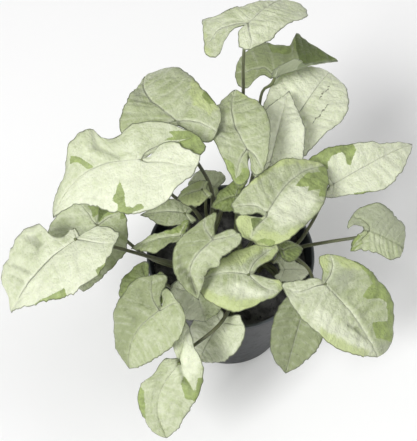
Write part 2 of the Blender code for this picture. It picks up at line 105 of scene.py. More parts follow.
USUAL_SHAPE = {
    "roll": 0.0,
    "bow": 8.0,
    "drop": 6.0,
    "rise": (0.15, 0.15),
    "sag": (0.004, 0.004),
    "wave": (1.5, 38.0, 0.0),
    "curl": 0.0,
    "bend": 0.0,
    "sweep": (0.5, 0.5),
    "lift": (0.0, 0.0),
    "creases": (),
    "veined": 1.0,
    "dark_rib": 1.0,
    "tone": (0.5, 0.5),
    "ragged": 0.9,
    "patches": (),
    "scars": (),
}


def leaf(name, base, tip, left, right, **shape):
    """Add one leaf to the plant's list, with the usual shape where nothing else is given."""
    LEAVES[name] = {**USUAL_SHAPE, "base": base, "tip": tip, "left": left, "right": right, **shape}


def whole_half(colour, side):
    """A patch that covers one half of a blade."""
    return colour, side, [(0, 0), (0, OUTSIDE), (1, OUTSIDE), (1, 0)]


def whole_blade(colour):
    return [whole_half(colour, side) for side in SIDES]


# The large leaves of the left side
leaf("leaf_left_bright", (-70, -7, 262), (-141, -28, 215), roll=-14, bow=7, sweep=(0.4, 0.0), bend=13,
     left=[(1, -7), (-2, -13), (-4, -19), (-3, -24), (-1, -27), (4, -31), (11, -35), (18, -38),
           (25, -32), (34, -16), (40, 2), (38, 17), (28, 33), (18, 43), (7, 57), (2, 76)],
     right=[(1, -9), (-2, -16), (-6, -22), (-12, -28), (-16, -35), (-12, -43), (1, -42), (9, -36),
            (16, -31), (25, -16), (27, -2), (25, 10), (29, 18), (37, 21), (42, 27), (40, 38), (34, 47),
            (20, 62), (9, 80)],
     rise=(0.1, 0.25), sag=(0.002, 0.002), wave=(1.5, 34, 1.0), lift=(3.0, -1.0),
     tone=(0.12, 0.5), dark_rib=0.3, ragged=1.4, veined=0.8,
     creases=[((41, 23), (26, 27), -2.2, 2.4), ((26, 27), (9, 14), -1.8, 2.2),
              ((38, 31), (25, 33), 1.6, 3), ((25, 33), (12, 22), 1.2, 2.6),
              ((32, 18), (23, 5), -1.5, 4), ((6, -6), (16, -16), -1.2, 1.3),
              ((33, 8), (14, 4), 1, 4), ((-8, 34), (-26, 12), -0.8, 2),
              ((-6, 18), (-28, -4), -0.8, 2), ((-5, 50), (-18, 34), -0.8, 2)],
     patches=[
         ("green", "left", [(0.65, 0.4), (0.64, 0.6), (0.63, 0.89), (0.59, 0.88), (0.57, 0.83),
                            (0.55, 0.84), (0.54, 0.93), (0.59, 0.96), (0.61, OUTSIDE), (0.67, OUTSIDE),
                            (0.66, 0.87), (0.69, 0.79), (0.67, 0.61)]),
         ("grey", "right", [(0.78, 0.9), (0.78, OUTSIDE), (1, OUTSIDE), (1, 0.4), (0.95, 0.6),
                            (0.88, 0.85)]),
         ("green", "right", [(0.77, 0.86), (0.74, 0.52), (0.73, 0.29), (0.72, 0.03), (0.75, 0.05),
                             (0.75, 0.26), (0.76, 0.47), (0.79, 0.72)]),
         ("green", "right", [(0.13, 0.06), (0.28, 0.02), (0.4, 0.12), (0.35, 0.3), (0.37, 0.5),
                             (0.31, 0.74), (0.29, OUTSIDE), (0.18, OUTSIDE), (0.12, 0.89),
                             (0.13, 0.39)])])
leaf("leaf_upper_left", (-45, 31, 262), (-71, 88, 250), bend=-11,
     left=[(8, -7), (20, -15), (32, -12), (43, -1), (41, 12), (33, 24), (21, 36), (10, 50)],
     right=[(4, -8), (8, -17), (13, -21), (20, -22), (26, -19), (34, -11), (37, -1), (34, 8), (31, 18),
            (30, 32), (27, 48), (22, 60), (14, 68), (6, 69)],
     wave=(1.2, 40, 0), dark_rib=0.6, tone=(0.85, 0.7),
     creases=[((8, 2), (30, 20), -1.2, 4), ((-12, 22), (-30, 34), -1.2, 5)],
     patches=[
         ("lime", "right", [(0.66, OUTSIDE), (0.4, OUTSIDE), (0.37, 0.46), (0.46, 0.5), (0.58, 0.74)]),
         ("green", "right", [(0.52, OUTSIDE), (0.42, OUTSIDE), (0.43, 0.79), (0.49, 0.85)]),
         ("grey", "left", [(0.76, OUTSIDE), (0.81, 0.13), (0.68, 0.51), (0.66, 0.7)])])
leaf("leaf_left_large", (-124, -41, 205), (-180, -77, 150), sweep=(0.5, 0.0),
     left=[(1, -12), (4, -20), (11, -26), (20, -27), (28, -22), (33, -13), (38, 2), (38, 19), (35, 30),
           (28, 42), (18, 56), (8, 72)],
     right=[(7, -5), (10, 0), (9, 6), (14, 12), (24, 13), (34, 18), (38, 30), (35, 42), (34, 54),
            (31, 64), (20, 74), (10, 79)],
     wave=(2, 36, 0.5), tone=(0.2, 0.4), ragged=1.4,
     creases=[((30, 31), (16, 24), -2, 3), ((25, 25), (13, 30), -1.6, 3), ((31, 50), (8, 36), 1.5, 3),
              ((24, 56), (6, 46), -1.8, 2.2), ((20, 64), (5, 55), -1.4, 1.8),
              ((28, 41), (12, 37), -1.2, 1.8), ((-6, 3), (-24, 10), -1, 4)],
     patches=[
         ("green", "left", [(0.59, OUTSIDE), (0.61, 0.8), (0.65, 0.85), (0.7, 0.9), (0.79, 0.98),
                            (0.8, OUTSIDE)]),
         ("green", "left", [(0.42, 0.83), (0.36, 0.92), (0.33, OUTSIDE), (0.42, OUTSIDE)]),
         ("green", "right", [(0.03, 0.7), (0.03, OUTSIDE), (0.09, OUTSIDE), (0.08, 0.85)])])
leaf("leaf_left_under", (-112, -10, 176), (-126, -47, 130), bow=4,
     left=[(-1, -8), (-2, -15), (6, -20), (14, -20), (24, -10), (30, 8), (25, 24), (17, 38), (9, 50)],
     right=[(1, -8), (0, -14), (6, -20), (14, -20), (22, -16), (32, -5), (40, 12), (34, 31), (22, 48)],
     tone=(0.8, 0.6), lift=(2.0, 0.0),
     patches=[
         ("green", "left", [(0.02, 0.2), (0.02, OUTSIDE), (0.3, OUTSIDE), (0.36, 0.4), (0.2, 0.2)]),
         ("deep", "left", [(0.02, 0.35), (0.02, OUTSIDE), (0.22, OUTSIDE), (0.25, 0.75), (0.14, 0.4)]),
         ("green", "right", [(0.05, 0.2), (0.05, OUTSIDE), (0.16, OUTSIDE), (0.14, 0.3)])])
leaf("leaf_left_pennant", (-42, -32, 196), (-83, -33, 178), bow=4,
     left=[(3, -3), (7, -4), (9, 1), (8, 8), (12, 14), (13, 22), (8, 33)],
     right=[(5, -5), (12, -8), (14, -4), (10, 1), (6, 8), (4, 17), (4, 28)], tone=(1.3, 1.1),
     patches=[
         ("green", "right", [(0, 0), (0, OUTSIDE), (0.55, OUTSIDE), (0.5, 0.3)]),
         ("lime", "right", [(0.1, 0.2), (0.2, OUTSIDE), (0.36, OUTSIDE), (0.4, 0.2)])])

# The leaves that stand up at the back
leaf("leaf_top", (11, 99, 298), (40, 142, 278), bow=6, drop=5, curl=-4,
     left=[(4, -9), (6, -16), (5, -23), (2, -33), (5, -38), (11, -38), (20, -27), (35, -8), (24, 2),
           (17, 15), (10, 29), (4, 44)],
     right=[(-1, -8), (0, -13), (7, -19), (14, -20), (20, -11), (23, 1), (24, 17), (26, 31), (29, 41),
            (27, 50), (22, 60), (14, 64), (6, 61)],
     rise=(0.0, 0.0), sag=(0.005, 0.002), wave=(1, 30, 0), tone=(0.5, 0.4), dark_rib=0.4, ragged=1.1,
     creases=[((-5, 1), (-16, -8), -1.2, 2), ((-1, 2), (-1, 30), -1, 1.5), ((9, -4), (18, 20), 1.2, 4),
              ((4, -6), (10, -18), 1, 3)],
     patches=[
         ("lime", "left", [(0.25, 0.6), (0.25, OUTSIDE), (0.42, OUTSIDE), (0.42, 0.6)])])
leaf("leaf_back_green", (37, 107, 230), (94, 133, 222), roll=-4, bow=3, sweep=(0.0, 0.5),
     left=[(7, -8), (5, -17), (0, -24), (5, -28), (12, -29), (20, -27), (26, -24), (33, -19), (41, -11),
           (44, -2), (45, 14), (36, 26), (32, 32), (42, 42), (48, 49), (38, 51), (25, 52)],
     right=[(3, -6), (9, -9), (13, 0), (12, 10), (7, 18), (2, 27), (1, 44)],
     rise=(0.0, 2.0), sag=(0.002, 0.0), wave=(1, 40, 0), tone=(1.3, 0.2),
     creases=[((-10, -4), (-24, 2), 1.2, 4), ((-4, 14), (-22, 20), -1.2, 4)],
     patches=[
         ("green", "left", [(0.52, OUTSIDE), (0.66, OUTSIDE), (0.63, 0.93), (0.64, 0.67), (0.6, 0.65),
                            (0.53, 0.62), (0.52, 0.82)]),
         ("green", "left", [(0.67, 0.6), (0.67, OUTSIDE), (0.86, OUTSIDE), (0.8, 0.3), (0.75, 0.1)]),
         ("deep", "left", [(0.71, 0), (0.69, 0.5), (0.7, OUTSIDE), (1, OUTSIDE), (1, 0)]),
         ("deep", "right", [(0.52, 0), (0.52, OUTSIDE), (1, OUTSIDE), (1, 0)])])
leaf("leaf_back_round", (48, 65, 212), (90, 139, 204), roll=6, bow=5, curl=3,
     left=[(3, -14), (8, -20), (16, -15), (25, -4), (31, 17), (34, 40), (25, 65), (11, 80)],
     right=[(5, -12), (14, -20), (24, -17), (28, 5), (32, 20), (35, 37), (28, 60), (15, 76)],
     wave=(1, 30, 0), tone=(-0.2, 0.15),
     scars=[((9, 60), (8, 40)), ((18, 38), (15, 13))])
leaf("leaf_back_left", (10, 12, 250), (2, 77, 246), bow=5, bend=-7,
     left=[(1, -10), (1, -21), (6, -26), (12, -24), (17, -13), (23, 3), (26, 20), (22, 38), (12, 52)],
     right=[(1, -10), (1, -17), (5, -21), (11, -16), (17, -2), (21, 20), (16, 42), (7, 55)],
     dark_rib=0.7, tone=(0.75, 0.8),
     creases=[((-4, 22), (-22, 18), -1.8, 4), ((-3, 30), (-20, 30), 1, 4)],
     patches=[
         ("grey", "left", [(0.66, OUTSIDE), (0.7, 0.45), (0.61, 0.45), (0.53, 0.7), (0.55, OUTSIDE)]),
         ("green", "left", [(0.38, 0.81), (0.36, 0.34), (0.13, 0.32), (0.1, 0.66), (0.1, OUTSIDE),
                            (0.38, OUTSIDE)]),
         ("lime", "right", [(0.75, 0.84), (0.75, OUTSIDE), (0.96, OUTSIDE), (0.95, 0.7)])])
leaf("leaf_back_middle", (30, 22, 221), (49, 96, 224), bow=5,
     left=[(3, -10), (8, -17), (14, -8), (16, 14), (16, 40), (7, 61)],
     right=[(4, -12), (11, -19), (20, -10), (25, 6), (23, 26), (15, 48), (6, 64)],
     dark_rib=0.4, tone=(-0.5, -0.15))

# The leaves of the right side
leaf("leaf_centre_right", (25, -34, 232), (75, 22, 216), roll=12, bow=6, bend=-7,
     left=[(5, -6), (9, -14), (17, -18), (24, -13), (26, 2), (26, 20), (25, 36), (19, 54), (11, 66)],
     right=[(0, -7), (-5, -11), (-12, -16), (-12, -22), (-5, -26), (4, -26), (16, -21), (24, -11),
            (27, -2), (27, 10), (25, 34), (15, 58)],
     lift=(0.0, 1.5), tone=(0.75, 0.8), dark_rib=0.7,
     creases=[((0, -24), (11, -22), -1.5, 1.6), ((11, -22), (21, -16), -1.2, 1.6),
              ((8, 8), (22, 24), -1, 4), ((-8, 14), (-20, 28), -1.2, 4), ((6, -4), (20, -4), 1, 3)],
     patches=[
         ("green", "right", [(0.8, 0.16), (0.86, 0.13), (0.9, 0.34), (0.92, 0.52), (0.94, 0.08), (1, 0),
                             (1, OUTSIDE), (0.85, OUTSIDE), (0.76, 0.97), (0.75, 0.82), (0.8, 0.8),
                             (0.78, 0.6), (0.75, 0.56), (0.79, 0.48), (0.76, 0.34), (0.74, 0.2)]),
         ("lime", "left", [(0.35, 0.9), (0.35, OUTSIDE), (1, OUTSIDE), (1, 0), (0.93, 0), (0.88, 0.3),
                           (0.78, 0.6), (0.6, 0.85)]),
         ("pale", "right", [(0.6, 0.07), (0.78, 0.21), (0.77, 0.64), (0.73, 0.8), (0.64, 0.87),
                            (0.53, 0.74), (0.48, 0.46), (0.53, 0.02)]),
         ("lime", "right", [(0.03, 0), (0.03, OUTSIDE), (0.25, OUTSIDE), (0.25, 0)]),
         ("lime", "right", [(0.25, 0), (0.25, OUTSIDE), (0.6, OUTSIDE), (0.56, 0.93), (0.46, 0.75),
                            (0.4, 0.3)]),
         ("deep", "right", [(0.04, 0.6), (0.07, 0), (0.2, 0), (0.17, 0.12), (0.08, 0.67)]),
         ("green", "right", [(0.31, 0.6), (0.36, 0.83), (0.38, OUTSIDE), (0.41, 0.82), (0.36, 0.55)])])
leaf("leaf_right_long", (82, 12, 205), (157, 66, 190), roll=16,
     left=[(5, -6), (13, -16), (26, -12), (28, 6), (24, 27), (18, 43), (10, 62)],
     right=[(2, -7), (5, -12), (9, -8), (14, 4), (20, 15), (25, 36), (20, 54), (10, 76)],
     tone=(0.2, 0.15), dark_rib=0.5,
     patches=[
         ("green", "left", [(0.2, OUTSIDE), (0.22, 0.62), (0.34, 0.3), (0.36, 0.3), (0.37, 0.6),
                            (0.41, 0.74), (0.48, 0.77), (0.5, 0.62), (0.5, 0.28), (0.52, 0.26),
                            (0.57, 0.69), (0.56, 0.93), (0.54, OUTSIDE)]),
         ("green", "right", [(0.27, 0.87), (0.27, OUTSIDE), (0.4, OUTSIDE), (0.4, 0.95), (0.33, 0.9)])])
leaf("leaf_right_small", (109, -24, 190), (140, -31, 172), roll=10, bow=5, drop=3,
     left=[(2, -5), (1, -12), (-4, -15), (2, -16), (9, -14), (16, -11), (23, -5), (26, 1), (25, 9),
           (22, 18), (17, 28)],
     right=[(3, -5), (8, -8), (15, -9), (22, -8), (18, -2), (17, 7), (17, 14), (17, 22), (9, 32)],
     tone=(0.8, 0.75), ragged=1.1, veined=0.3,
     patches=[
         whole_half("grey", "left"),
         ("green", "right", [(0.11, OUTSIDE), (0.06, 0.38), (0.43, 0.38), (0.32, 0.68),
                             (0.32, OUTSIDE)])])
leaf("leaf_front_right_large", (70, -76, 196), (113, -116, 150), bow=7,
     left=[(5, -8), (12, -17), (22, -12), (29, -2), (33, 8), (37, 21), (38, 36), (35, 49), (30, 60),
           (20, 71), (9, 76)],
     right=[(3, -9), (13, -15), (26, -22), (32, -10), (34, 8), (33, 25), (27, 42), (16, 58)],
     dark_rib=0.8, tone=(0.8, 0.5),
     creases=[((-3, -2), (-3, 12), -1.5, 2.5), ((25, -9), (3, 6), -0.8, 1.5),
              ((29, 6), (3, 8), -0.8, 1.5), ((0, 21), (9, 33), -0.8, 1.5), ((9, 33), (4, 42), -1.8, 2),
              ((5, 42), (2, 54), -1.8, 2.2), ((12, 40), (7, 50), -1.3, 2), ((-3, 20), (-3, 52), 1, 2),
              ((-8, 20), (-24, 14), -1.2, 4), ((-8, 38), (-24, 34), -1.2, 4)],
     patches=[
         ("green", "left", [(0.33, 0.93), (0.33, OUTSIDE), (0.88, OUTSIDE), (0.88, 0.82), (0.86, 0.3),
                            (0.82, 0.28), (0.76, 0.32), (0.77, 0.8), (0.66, 0.84), (0.63, 0.74),
                            (0.62, 0.48), (0.59, 0.42), (0.53, 0.8), (0.48, 0.85), (0.42, 0.88)]),
         ("lime", "left", [(0.05, 0.3), (0.05, OUTSIDE), (0.4, OUTSIDE), (0.36, 0.5), (0.3, 0.3)]),
         ("grey", "left", [(0.36, 0.1), (0.34, 0.7), (0.45, 0.6), (0.5, 0.3), (0.52, 0.1)]),
         ("grey", "left", [(0.88, 0.2), (0.88, OUTSIDE), (0.97, OUTSIDE), (0.97, 0.2)]),
         ("pale", "right", [(0.5, 0.5), (0.5, 0.85), (0.85, 0.85), (0.95, 0.3), (0.85, 0.3),
                            (0.7, 0.5)]),
         ("lime", "right", [(0.55, 0.84), (0.55, OUTSIDE), (0.92, OUTSIDE), (0.9, 0.7), (0.75, 0.75)])])
leaf("leaf_front_right_low", (55, -84, 165), (43, -117, 120), bow=4,
     left=[(3, -8), (10, -12), (18, -4), (21, 10), (18, 28), (10, 44)],
     right=[(4, -9), (11, -13), (18, -3), (20, 12), (18, 34), (10, 48)], tone=(1.6, 1.8),
     veined=0.7, scars=[((-5.6, 34), (-4.4, 34)), ((1.4, 49), (2.6, 49))])

# The leaves of the middle and the front
leaf("leaf_centre_front", (11, -70, 200), (-29, -73, 190), roll=-12, bow=4, bend=4,
     left=[(3, -12), (6, -22), (12, -24), (20, -14), (28, 8), (24, 23), (13, 36)],
     right=[(5, -8), (11, -18), (18, -25), (24, -22), (24, -10), (21, 5), (14, 20), (7, 32)],
     tone=(0.7, 0.65),
     creases=[((-4, -4), (-16, -14), -1, 2.5), ((-12, 8), (-20, 0), -1.2, 4),
              ((8, 0), (18, -14), -1.5, 4), ((-10, 22), (-22, 18), 1.2, 4)],
     patches=[
         ("pale", "left", [(0.74, 0.45), (0.66, 0.3), (0.45, 0.28), (0.3, 0.4), (0.3, 0.6),
                           (0.45, 0.66), (0.6, 0.62), (0.7, 0.6)]),
         ("lime", "left", [(0.15, 0.7), (0.15, OUTSIDE), (0.95, OUTSIDE), (0.95, 0.7), (0.6, 0.72),
                           (0.5, 0.62), (0.38, 0.74), (0.28, 0.6)]),
         ("lime", "right", [(0.1, 0.4), (0.1, OUTSIDE), (0.95, OUTSIDE), (0.9, 0.5), (0.5, 0.4)])])
leaf("leaf_centre_folded", (-16, -55, 226), (-27, -90, 196), bow=4, bend=11,
     left=[(3, -6), (10, -11), (19, -9), (20, -3), (15, 5), (9, 11), (10, 17), (3, 21), (1, 29),
           (1, 38)],
     right=[(2, -10), (4, -20), (10, -15), (20, -2), (27, 10), (25, 24), (18, 36), (8, 44)],
     tone=(0.8, 1.4), dark_rib=0.4,
     creases=[((6, 3), (13, 25), 1.2, 1.8), ((14, 27), (3, 42), -2.5, 2.5),
              ((22, 18), (14, 38), -1.6, 3), ((-3, 18), (0, 30), -1.8, 2.5),
              ((-8, 2), (-14, -6), 1, 3)])
leaf("leaf_front_under", (-30, -70, 172), (-22, -85, 150), bow=2,
     left=[(4, -8), (12, -10), (20, 2), (20, 15), (11, 24)],
     right=[(3, -9), (9, -15), (18, -10), (21, 0), (20, 11), (12, 20)], tone=(0.95, -0.4), veined=0.7)
leaf("leaf_front_left", (-57, -93, 185), (-83, -119, 135), bow=5, bend=7,
     left=[(0, -5), (-3, -9), (-7, -13), (-5, -17), (1, -17), (8, -14), (17, -11), (24, -5), (26, 3),
           (25, 14), (18, 34), (8, 52)],
     right=[(4, -7), (7, -12), (8, -17), (12, -22), (17, -21), (23, -16), (31, -6), (34, 8), (32, 22),
            (27, 37), (19, 50)],
     lift=(2.0, 0.0), tone=(0.8, 1.5), dark_rib=0.3, veined=0.8,
     creases=[((1, 8), (-10, 11), -0.9, 1.3), ((-10, 11), (-11, 24), -0.9, 1.3),
              ((9, 4), (24, 0), -1, 4), ((12, 20), (28, 14), -1, 4)])
leaf("leaf_front_left_under", (-70, -60, 172), (-89, -80, 140), bow=3,
     left=[(3, -8), (8, -14), (17, -9), (23, 5), (17, 24), (8, 34)],
     right=[(3, -8), (8, -13), (14, -7), (17, 5), (15, 18), (9, 30)], tone=(1.5, 1.9), veined=0.5,
     patches=whole_blade("green"))
leaf("leaf_front_low", (-43, -122, 150), (-54, -160, 88), bow=4, bend=11,
     left=[(-4, -8), (-8, -15), (-10, -26), (-6, -33), (1, -32), (5, -25), (9, -16), (15, -12),
           (20, -4), (21, 8), (21, 19), (17, 31), (13, 43), (9, 57), (4, 67)],
     right=[(5, -4), (12, -2), (18, 12), (26, 23), (28, 32), (26, 41), (23, 52), (18, 62), (10, 71)],
     wave=(1.2, 30, 0), tone=(0.6, 0.7), dark_rib=0.2, veined=0.6,
     creases=[((9, -19), (5, -7), -1.5, 1.8), ((5, -7), (0, 0), -1.5, 1.8),
              ((2, -26), (-5, -5), 2, 3.5), ((1, -3), (-7, 12), -2.2, 1.7),
              ((-7, 12), (-13, 16), -2, 1.7), ((12, 12), (16, 36), -1, 4),
              ((-8, 30), (-4, 48), -1, 4)],
     patches=[
         ("pale", "left", [(0.06, 0.4), (0.03, OUTSIDE), (0.39, OUTSIDE), (0.46, 0.89), (0.56, 0.63),
                           (0.6, 0.5), (0.55, 0.09), (0.3, 0.1)]),
         ("green", "right", [(0.45, 0.93), (0.5, 0.73), (0.63, 0.68), (0.74, 0.84), (0.78, OUTSIDE),
                             (0.45, OUTSIDE)]),
         ("green", "left", [(0.59, 0.37), (0.63, 0.76), (0.63, 0.87), (0.55, 0.81), (0.52, OUTSIDE),
                            (0.66, OUTSIDE), (0.68, 0.88), (0.7, 0.76), (0.64, 0.42)])])
leaf("leaf_front_oval", (-9, -79, 137), (-27, -97, 101), bow=3,
     left=[(3, -9), (10, -15), (21, -8), (25, 8), (20, 26), (9, 38)],
     right=[(4, -8), (12, -9), (20, 4), (20, 22), (12, 36)], tone=(0.4, 0.0), veined=0.6)

# The small leaves among the stalks
leaf("leaf_small_pale", (-40, 9, 167), (-79, 14, 157), bow=3,
     left=[(3, -8), (7, -11), (11, -5), (14, 8), (13, 20), (6, 31)],
     right=[(3, -7), (8, -10), (13, -4), (13, 6), (10, 18), (5, 29)], tone=(0.75, 0.75))
leaf("leaf_small_olive", (-25, 0, 214), (-45, -5, 208), bow=2,
     left=[(3, -5), (8, -7), (13, 0), (15, 8), (8, 17)],
     right=[(3, -5), (7, -6), (9, 1), (7, 11)], tone=(0.6, -0.1),
     patches=whole_blade("lime"))
leaf("leaf_small_pointed", (2, -9, 218), (-18, -12, 206), bow=2,
     left=[(4, -5), (10, -8), (15, -2), (13, 8), (6, 17)],
     right=[(4, -6), (10, -12), (16, -6), (10, 6), (4, 16)], tone=(1.6, 1.6),
     patches=whole_blade("green"))
leaf("leaf_inner_grey", (-15, 33, 172), (-36, 44, 166), bow=2,
     left=[(3, -6), (8, -9), (14, -4), (16, 6), (9, 20)],
     right=[(4, -5), (11, -6), (16, 0), (14, 10), (7, 22)], tone=(1.0, 0.3))
leaf("leaf_inner_right", (45, -31, 140), (69, -28, 132), bow=2,
     left=[(4, -5), (10, -8), (12, 0), (8, 12)],
     right=[(3, -6), (8, -10), (13, 0), (13, 10), (6, 20)], tone=(0.2, -0.5))
leaf("leaf_inner_olive", (39, -42, 190), (57, -30, 176), bow=2,
     left=[(4, -4), (10, -5), (13, 2), (7, 14)],
     right=[(3, -5), (9, -7), (13, 1), (8, 14)], tone=(1.6, 1.6),
     patches=whole_blade("green"))

# Short leafy stems: foot in the soil, top, and radius
STEMS = {
    "stem_back": ((4, 16, 88), (6, 20, 132), 4.0),
    "stem_left": ((-14, 6, 88), (-18, 8, 140), 4.0),
    "stem_right": ((24, -6, 88), (34, -10, 128), 4.0),
    "stem_centre": ((8, -14, 88), (9, -18, 140), 4.0),
    "stem_front": ((0, -34, 88), (0, -44, 120), 4.0),
    "stem_far_left": ((-28, -16, 88), (-36, -20, 126), 4.0),
}

# Leaf stalks: the stem each grows from, how far up it, the points it passes through, and
# the length of its last stretch, which meets the blade square from below
STALKS = {
    "leaf_top": ("stem_back", 0.9, [(8, 56, 190), (9, 78, 235), (8, 84, 268)], 14),
    "leaf_back_green": ("stem_back", 0.8, [(20, 58, 155), (24, 92, 197), (27, 104, 214)], 8),
    "leaf_back_round": ("stem_back", 0.7, [(24, 38, 165)], 14),
    "leaf_back_middle": ("stem_back", 0.95, [(14, 26, 170)], 14),
    "leaf_left_bright": ("stem_left", 0.9, [(-34, 4, 184), (-49, -1, 208)], 14),
    "leaf_upper_left": ("stem_left", 0.95, [(-18, 20, 190)], 14),
    "leaf_back_left": ("stem_left", 0.8, [(-2, 16, 190)], 14),
    "leaf_small_olive": ("stem_left", 0.9, [(-22, 8, 170)], 14),
    "leaf_inner_grey": ("stem_left", 0.7, [(-13, 22, 155)], 14),
    "leaf_right_long": ("stem_right", 0.8, [(54, -11, 145), (68, -2, 172)], 14),
    "leaf_right_small": ("stem_right", 0.7, [(55, -10, 140), (80, -17, 162)], 14),
    "leaf_front_right_large": ("stem_right", 0.9, [(43, -24, 158), (59, -49, 176)], 14),
    "leaf_front_right_low": ("stem_right", 0.6, [(48, -50, 140)], 14),
    "leaf_inner_olive": ("stem_right", 0.9, [(36, -28, 160)], 14),
    "leaf_inner_right": ("stem_right", 0.6, [(38, -22, 126)], 8),
    "leaf_centre_right": ("stem_centre", 0.9, [(18, -28, 190)], 14),
    "leaf_centre_folded": ("stem_centre", 0.85, [(-4, -36, 180)], 14),
    "leaf_centre_front": ("stem_centre", 0.7, [(12, -46, 155)], 14),
    "leaf_small_pointed": ("stem_centre", 0.95, [(4, -12, 180)], 14),
    "leaf_front_low": ("stem_front", 0.9, [(-3, -72, 146), (-14, -93, 154)], 14),
    "leaf_front_left": ("stem_front", 0.7, [(-27, -62, 146), (-46, -82, 166)], 14),
    "leaf_front_left_under": ("stem_front", 0.5, [(-40, -52, 136)], 14),
    "leaf_front_oval": ("stem_front", 0.6, [(0, -66, 124)], 14),
    "leaf_front_under": ("stem_front", 0.8, [(-14, -58, 140)], 14),
    "leaf_left_large": ("stem_far_left", 0.9, [(-66, -30, 158), (-98, -37, 188)], 14),
    "leaf_left_under": ("stem_far_left", 0.8, [(-72, -18, 140)], 14),
    "leaf_left_pennant": ("stem_far_left", 0.7, [(-38, -28, 160)], 14),
    "leaf_small_pale": ("stem_far_left", 0.95, [(-37, -8, 150)], 14),
}


def length_prop(name, description, default):
    return FloatProperty(name=name, description=description, default=default, unit="LENGTH")


def colour_prop(name, description, default):
    return FloatVectorProperty(
        name=name, description=description, default=default, size=3, subtype="COLOR")


class LeafSettings(bpy.types.PropertyGroup):
    thickness: length_prop("Blade thickness", "Thickness of a leaf blade", 0.0006)
    midrib_height: length_prop("Midrib height", "How far the midrib stands out below the blade", 0.0011)
    quilting: length_prop("Quilting", "How far the blade swells up between its side veins", 0.0009)
    unevenness: length_prop("Unevenness", "How far the blade swells and sinks as a whole", 0.0016)
    vein_groove: length_prop("Vein groove", "How deep the midrib and lobe veins lie", 0.0007)
    cream: colour_prop("Cream", "Palest colour of the blades", (0.78, 0.82, 0.62))
    sage: colour_prop("Sage", "Greyer colour of the shaded blades", (0.355, 0.41, 0.205))
    green: colour_prop("Green", "Colour of the green patches", (0.225, 0.285, 0.088))
    deep: colour_prop("Deep green", "Colour of the darkest green parts", (0.125, 0.17, 0.042))
    # Grey is partly a grey-green colour of the blades and partly painted shade in their hollows
    grey: colour_prop("Grey", "Colour of the grey-green patches", (0.33, 0.355, 0.255))
    lime: colour_prop("Lime", "Colour of the yellow-green tints", (0.53, 0.61, 0.26))
    margin: colour_prop("Margin", "Colour of the thin edge of a blade", (0.12, 0.14, 0.075))


class StalkSettings(bpy.types.PropertyGroup):
    root_radius: length_prop("Root radius", "Radius of a leaf stalk above its sheath", 0.0019)
    tip_radius: length_prop("Tip radius", "Radius of a leaf stalk at its blade", 0.0012)
    sheath: FloatProperty(
        name="Sheath", description="How much wider the sheath at a stalk's foot is", default=0.45,
        min=0.0, max=1.0)
    groove: FloatProperty(
        name="Groove", description="Depth of a stalk's groove, as a share of its radius",
        default=0.3, min=0.0, max=0.6)
    sides: IntProperty(
        name="Sides", description="Points round a stalk", default=14, min=6, max=32)
    olive: colour_prop("Olive", "Main colour of the stalks", (0.060, 0.065, 0.030))


class PotSettings(bpy.types.PropertyGroup):
    wall: length_prop("Wall", "Thickness of the pot's wall", 0.0018)
    rim_height: length_prop("Rim height", "Height of the bead round the rim", 0.005)
    steps: IntProperty(name="Steps", description="Points round the pot", default=144, min=48)
    slate: colour_prop("Slate", "Colour of the pot", (0.0142, 0.0178, 0.022))


class SoilSettings(bpy.types.PropertyGroup):
    crumb_size: length_prop("Crumb size", "Radius of the largest soil crumbs", 0.0022)
    density: FloatProperty(
        name="Density", description="Crumbs on each square metre", default=110000.0, min=0.0)
    seed: IntProperty(name="Seed", description="Seed of the crumbs' places", default=7)
    brown: colour_prop("Brown", "Colour of the soil", (0.055, 0.054, 0.054))


class StageSettings(bpy.types.PropertyGroup):
    camera: FloatVectorProperty(
        name="Camera", description="Where the camera stands",
        default=(-0.01968, -0.38842, 0.75922), size=3, subtype="TRANSLATION", unit="LENGTH")
    down: FloatProperty(
        name="Downward angle", description="How far the camera looks down",
        default=math.radians(56.65), subtype="ANGLE", unit="ROTATION")
    lens: FloatProperty(
        name="Lens", description="Focal length on a 36 mm sensor", default=68.5, min=10.0)
    key: FloatProperty(
        name="Key light", description="Strength of the main soft light", default=150.0, min=0.0)
    sky: FloatProperty(
        name="Room light", description="Strength of the even light of the room", default=0.35,
        min=0.0)


class Wire:
    """One output of a node, used in Python sums. A sum adds its Math node to the tree."""

    def __init__(self, graph, socket):
        self.graph = graph
        self.socket = socket

    def sum(self, operation, *terms):
        return self.graph.node("ShaderNodeMath", {"operation": operation}, dict(enumerate(terms)))

    def __add__(self, other):
        return self.sum("ADD", self, other)

    def __radd__(self, other):
        return self.sum("ADD", other, self)

    def __sub__(self, other):
        return self.sum("SUBTRACT", self, other)

    def __rsub__(self, other):
        return self.sum("SUBTRACT", other, self)

    def __mul__(self, other):
        return self.sum("MULTIPLY", self, other)

    def __rmul__(self, other):
        return self.sum("MULTIPLY", other, self)

    def __pow__(self, other):
        return self.sum("POWER", self, other)

    def most(self, other):
        return self.sum("MAXIMUM", self, other)

    def step(self, low, high):
        """Smoothly from 0 at low to 1 at high."""
        return self.graph.node("ShaderNodeMapRange", {"interpolation_type": "SMOOTHSTEP"},
                               {"Value": self, "From Min": low, "From Max": high})


class Graph:
    """A node tree, for a material or for geometry."""

    def __init__(self, tree):
        self.tree = tree

    def node(self, kind, settings=None, values=None, output=0):
        """Add a node, set its settings first and then its sockets, and give one output."""
        made = self.tree.nodes.new(kind)
        for name, setting in (settings or {}).items():
            setattr(made, name, setting)
        for key, value in (values or {}).items():
            self.feed(made.inputs[key], value)
        return Wire(self, made.outputs[output])

    def feed(self, socket, value):
        if isinstance(value, Wire):
            self.tree.links.new(value.socket, socket)
        else:
            socket.default_value = value


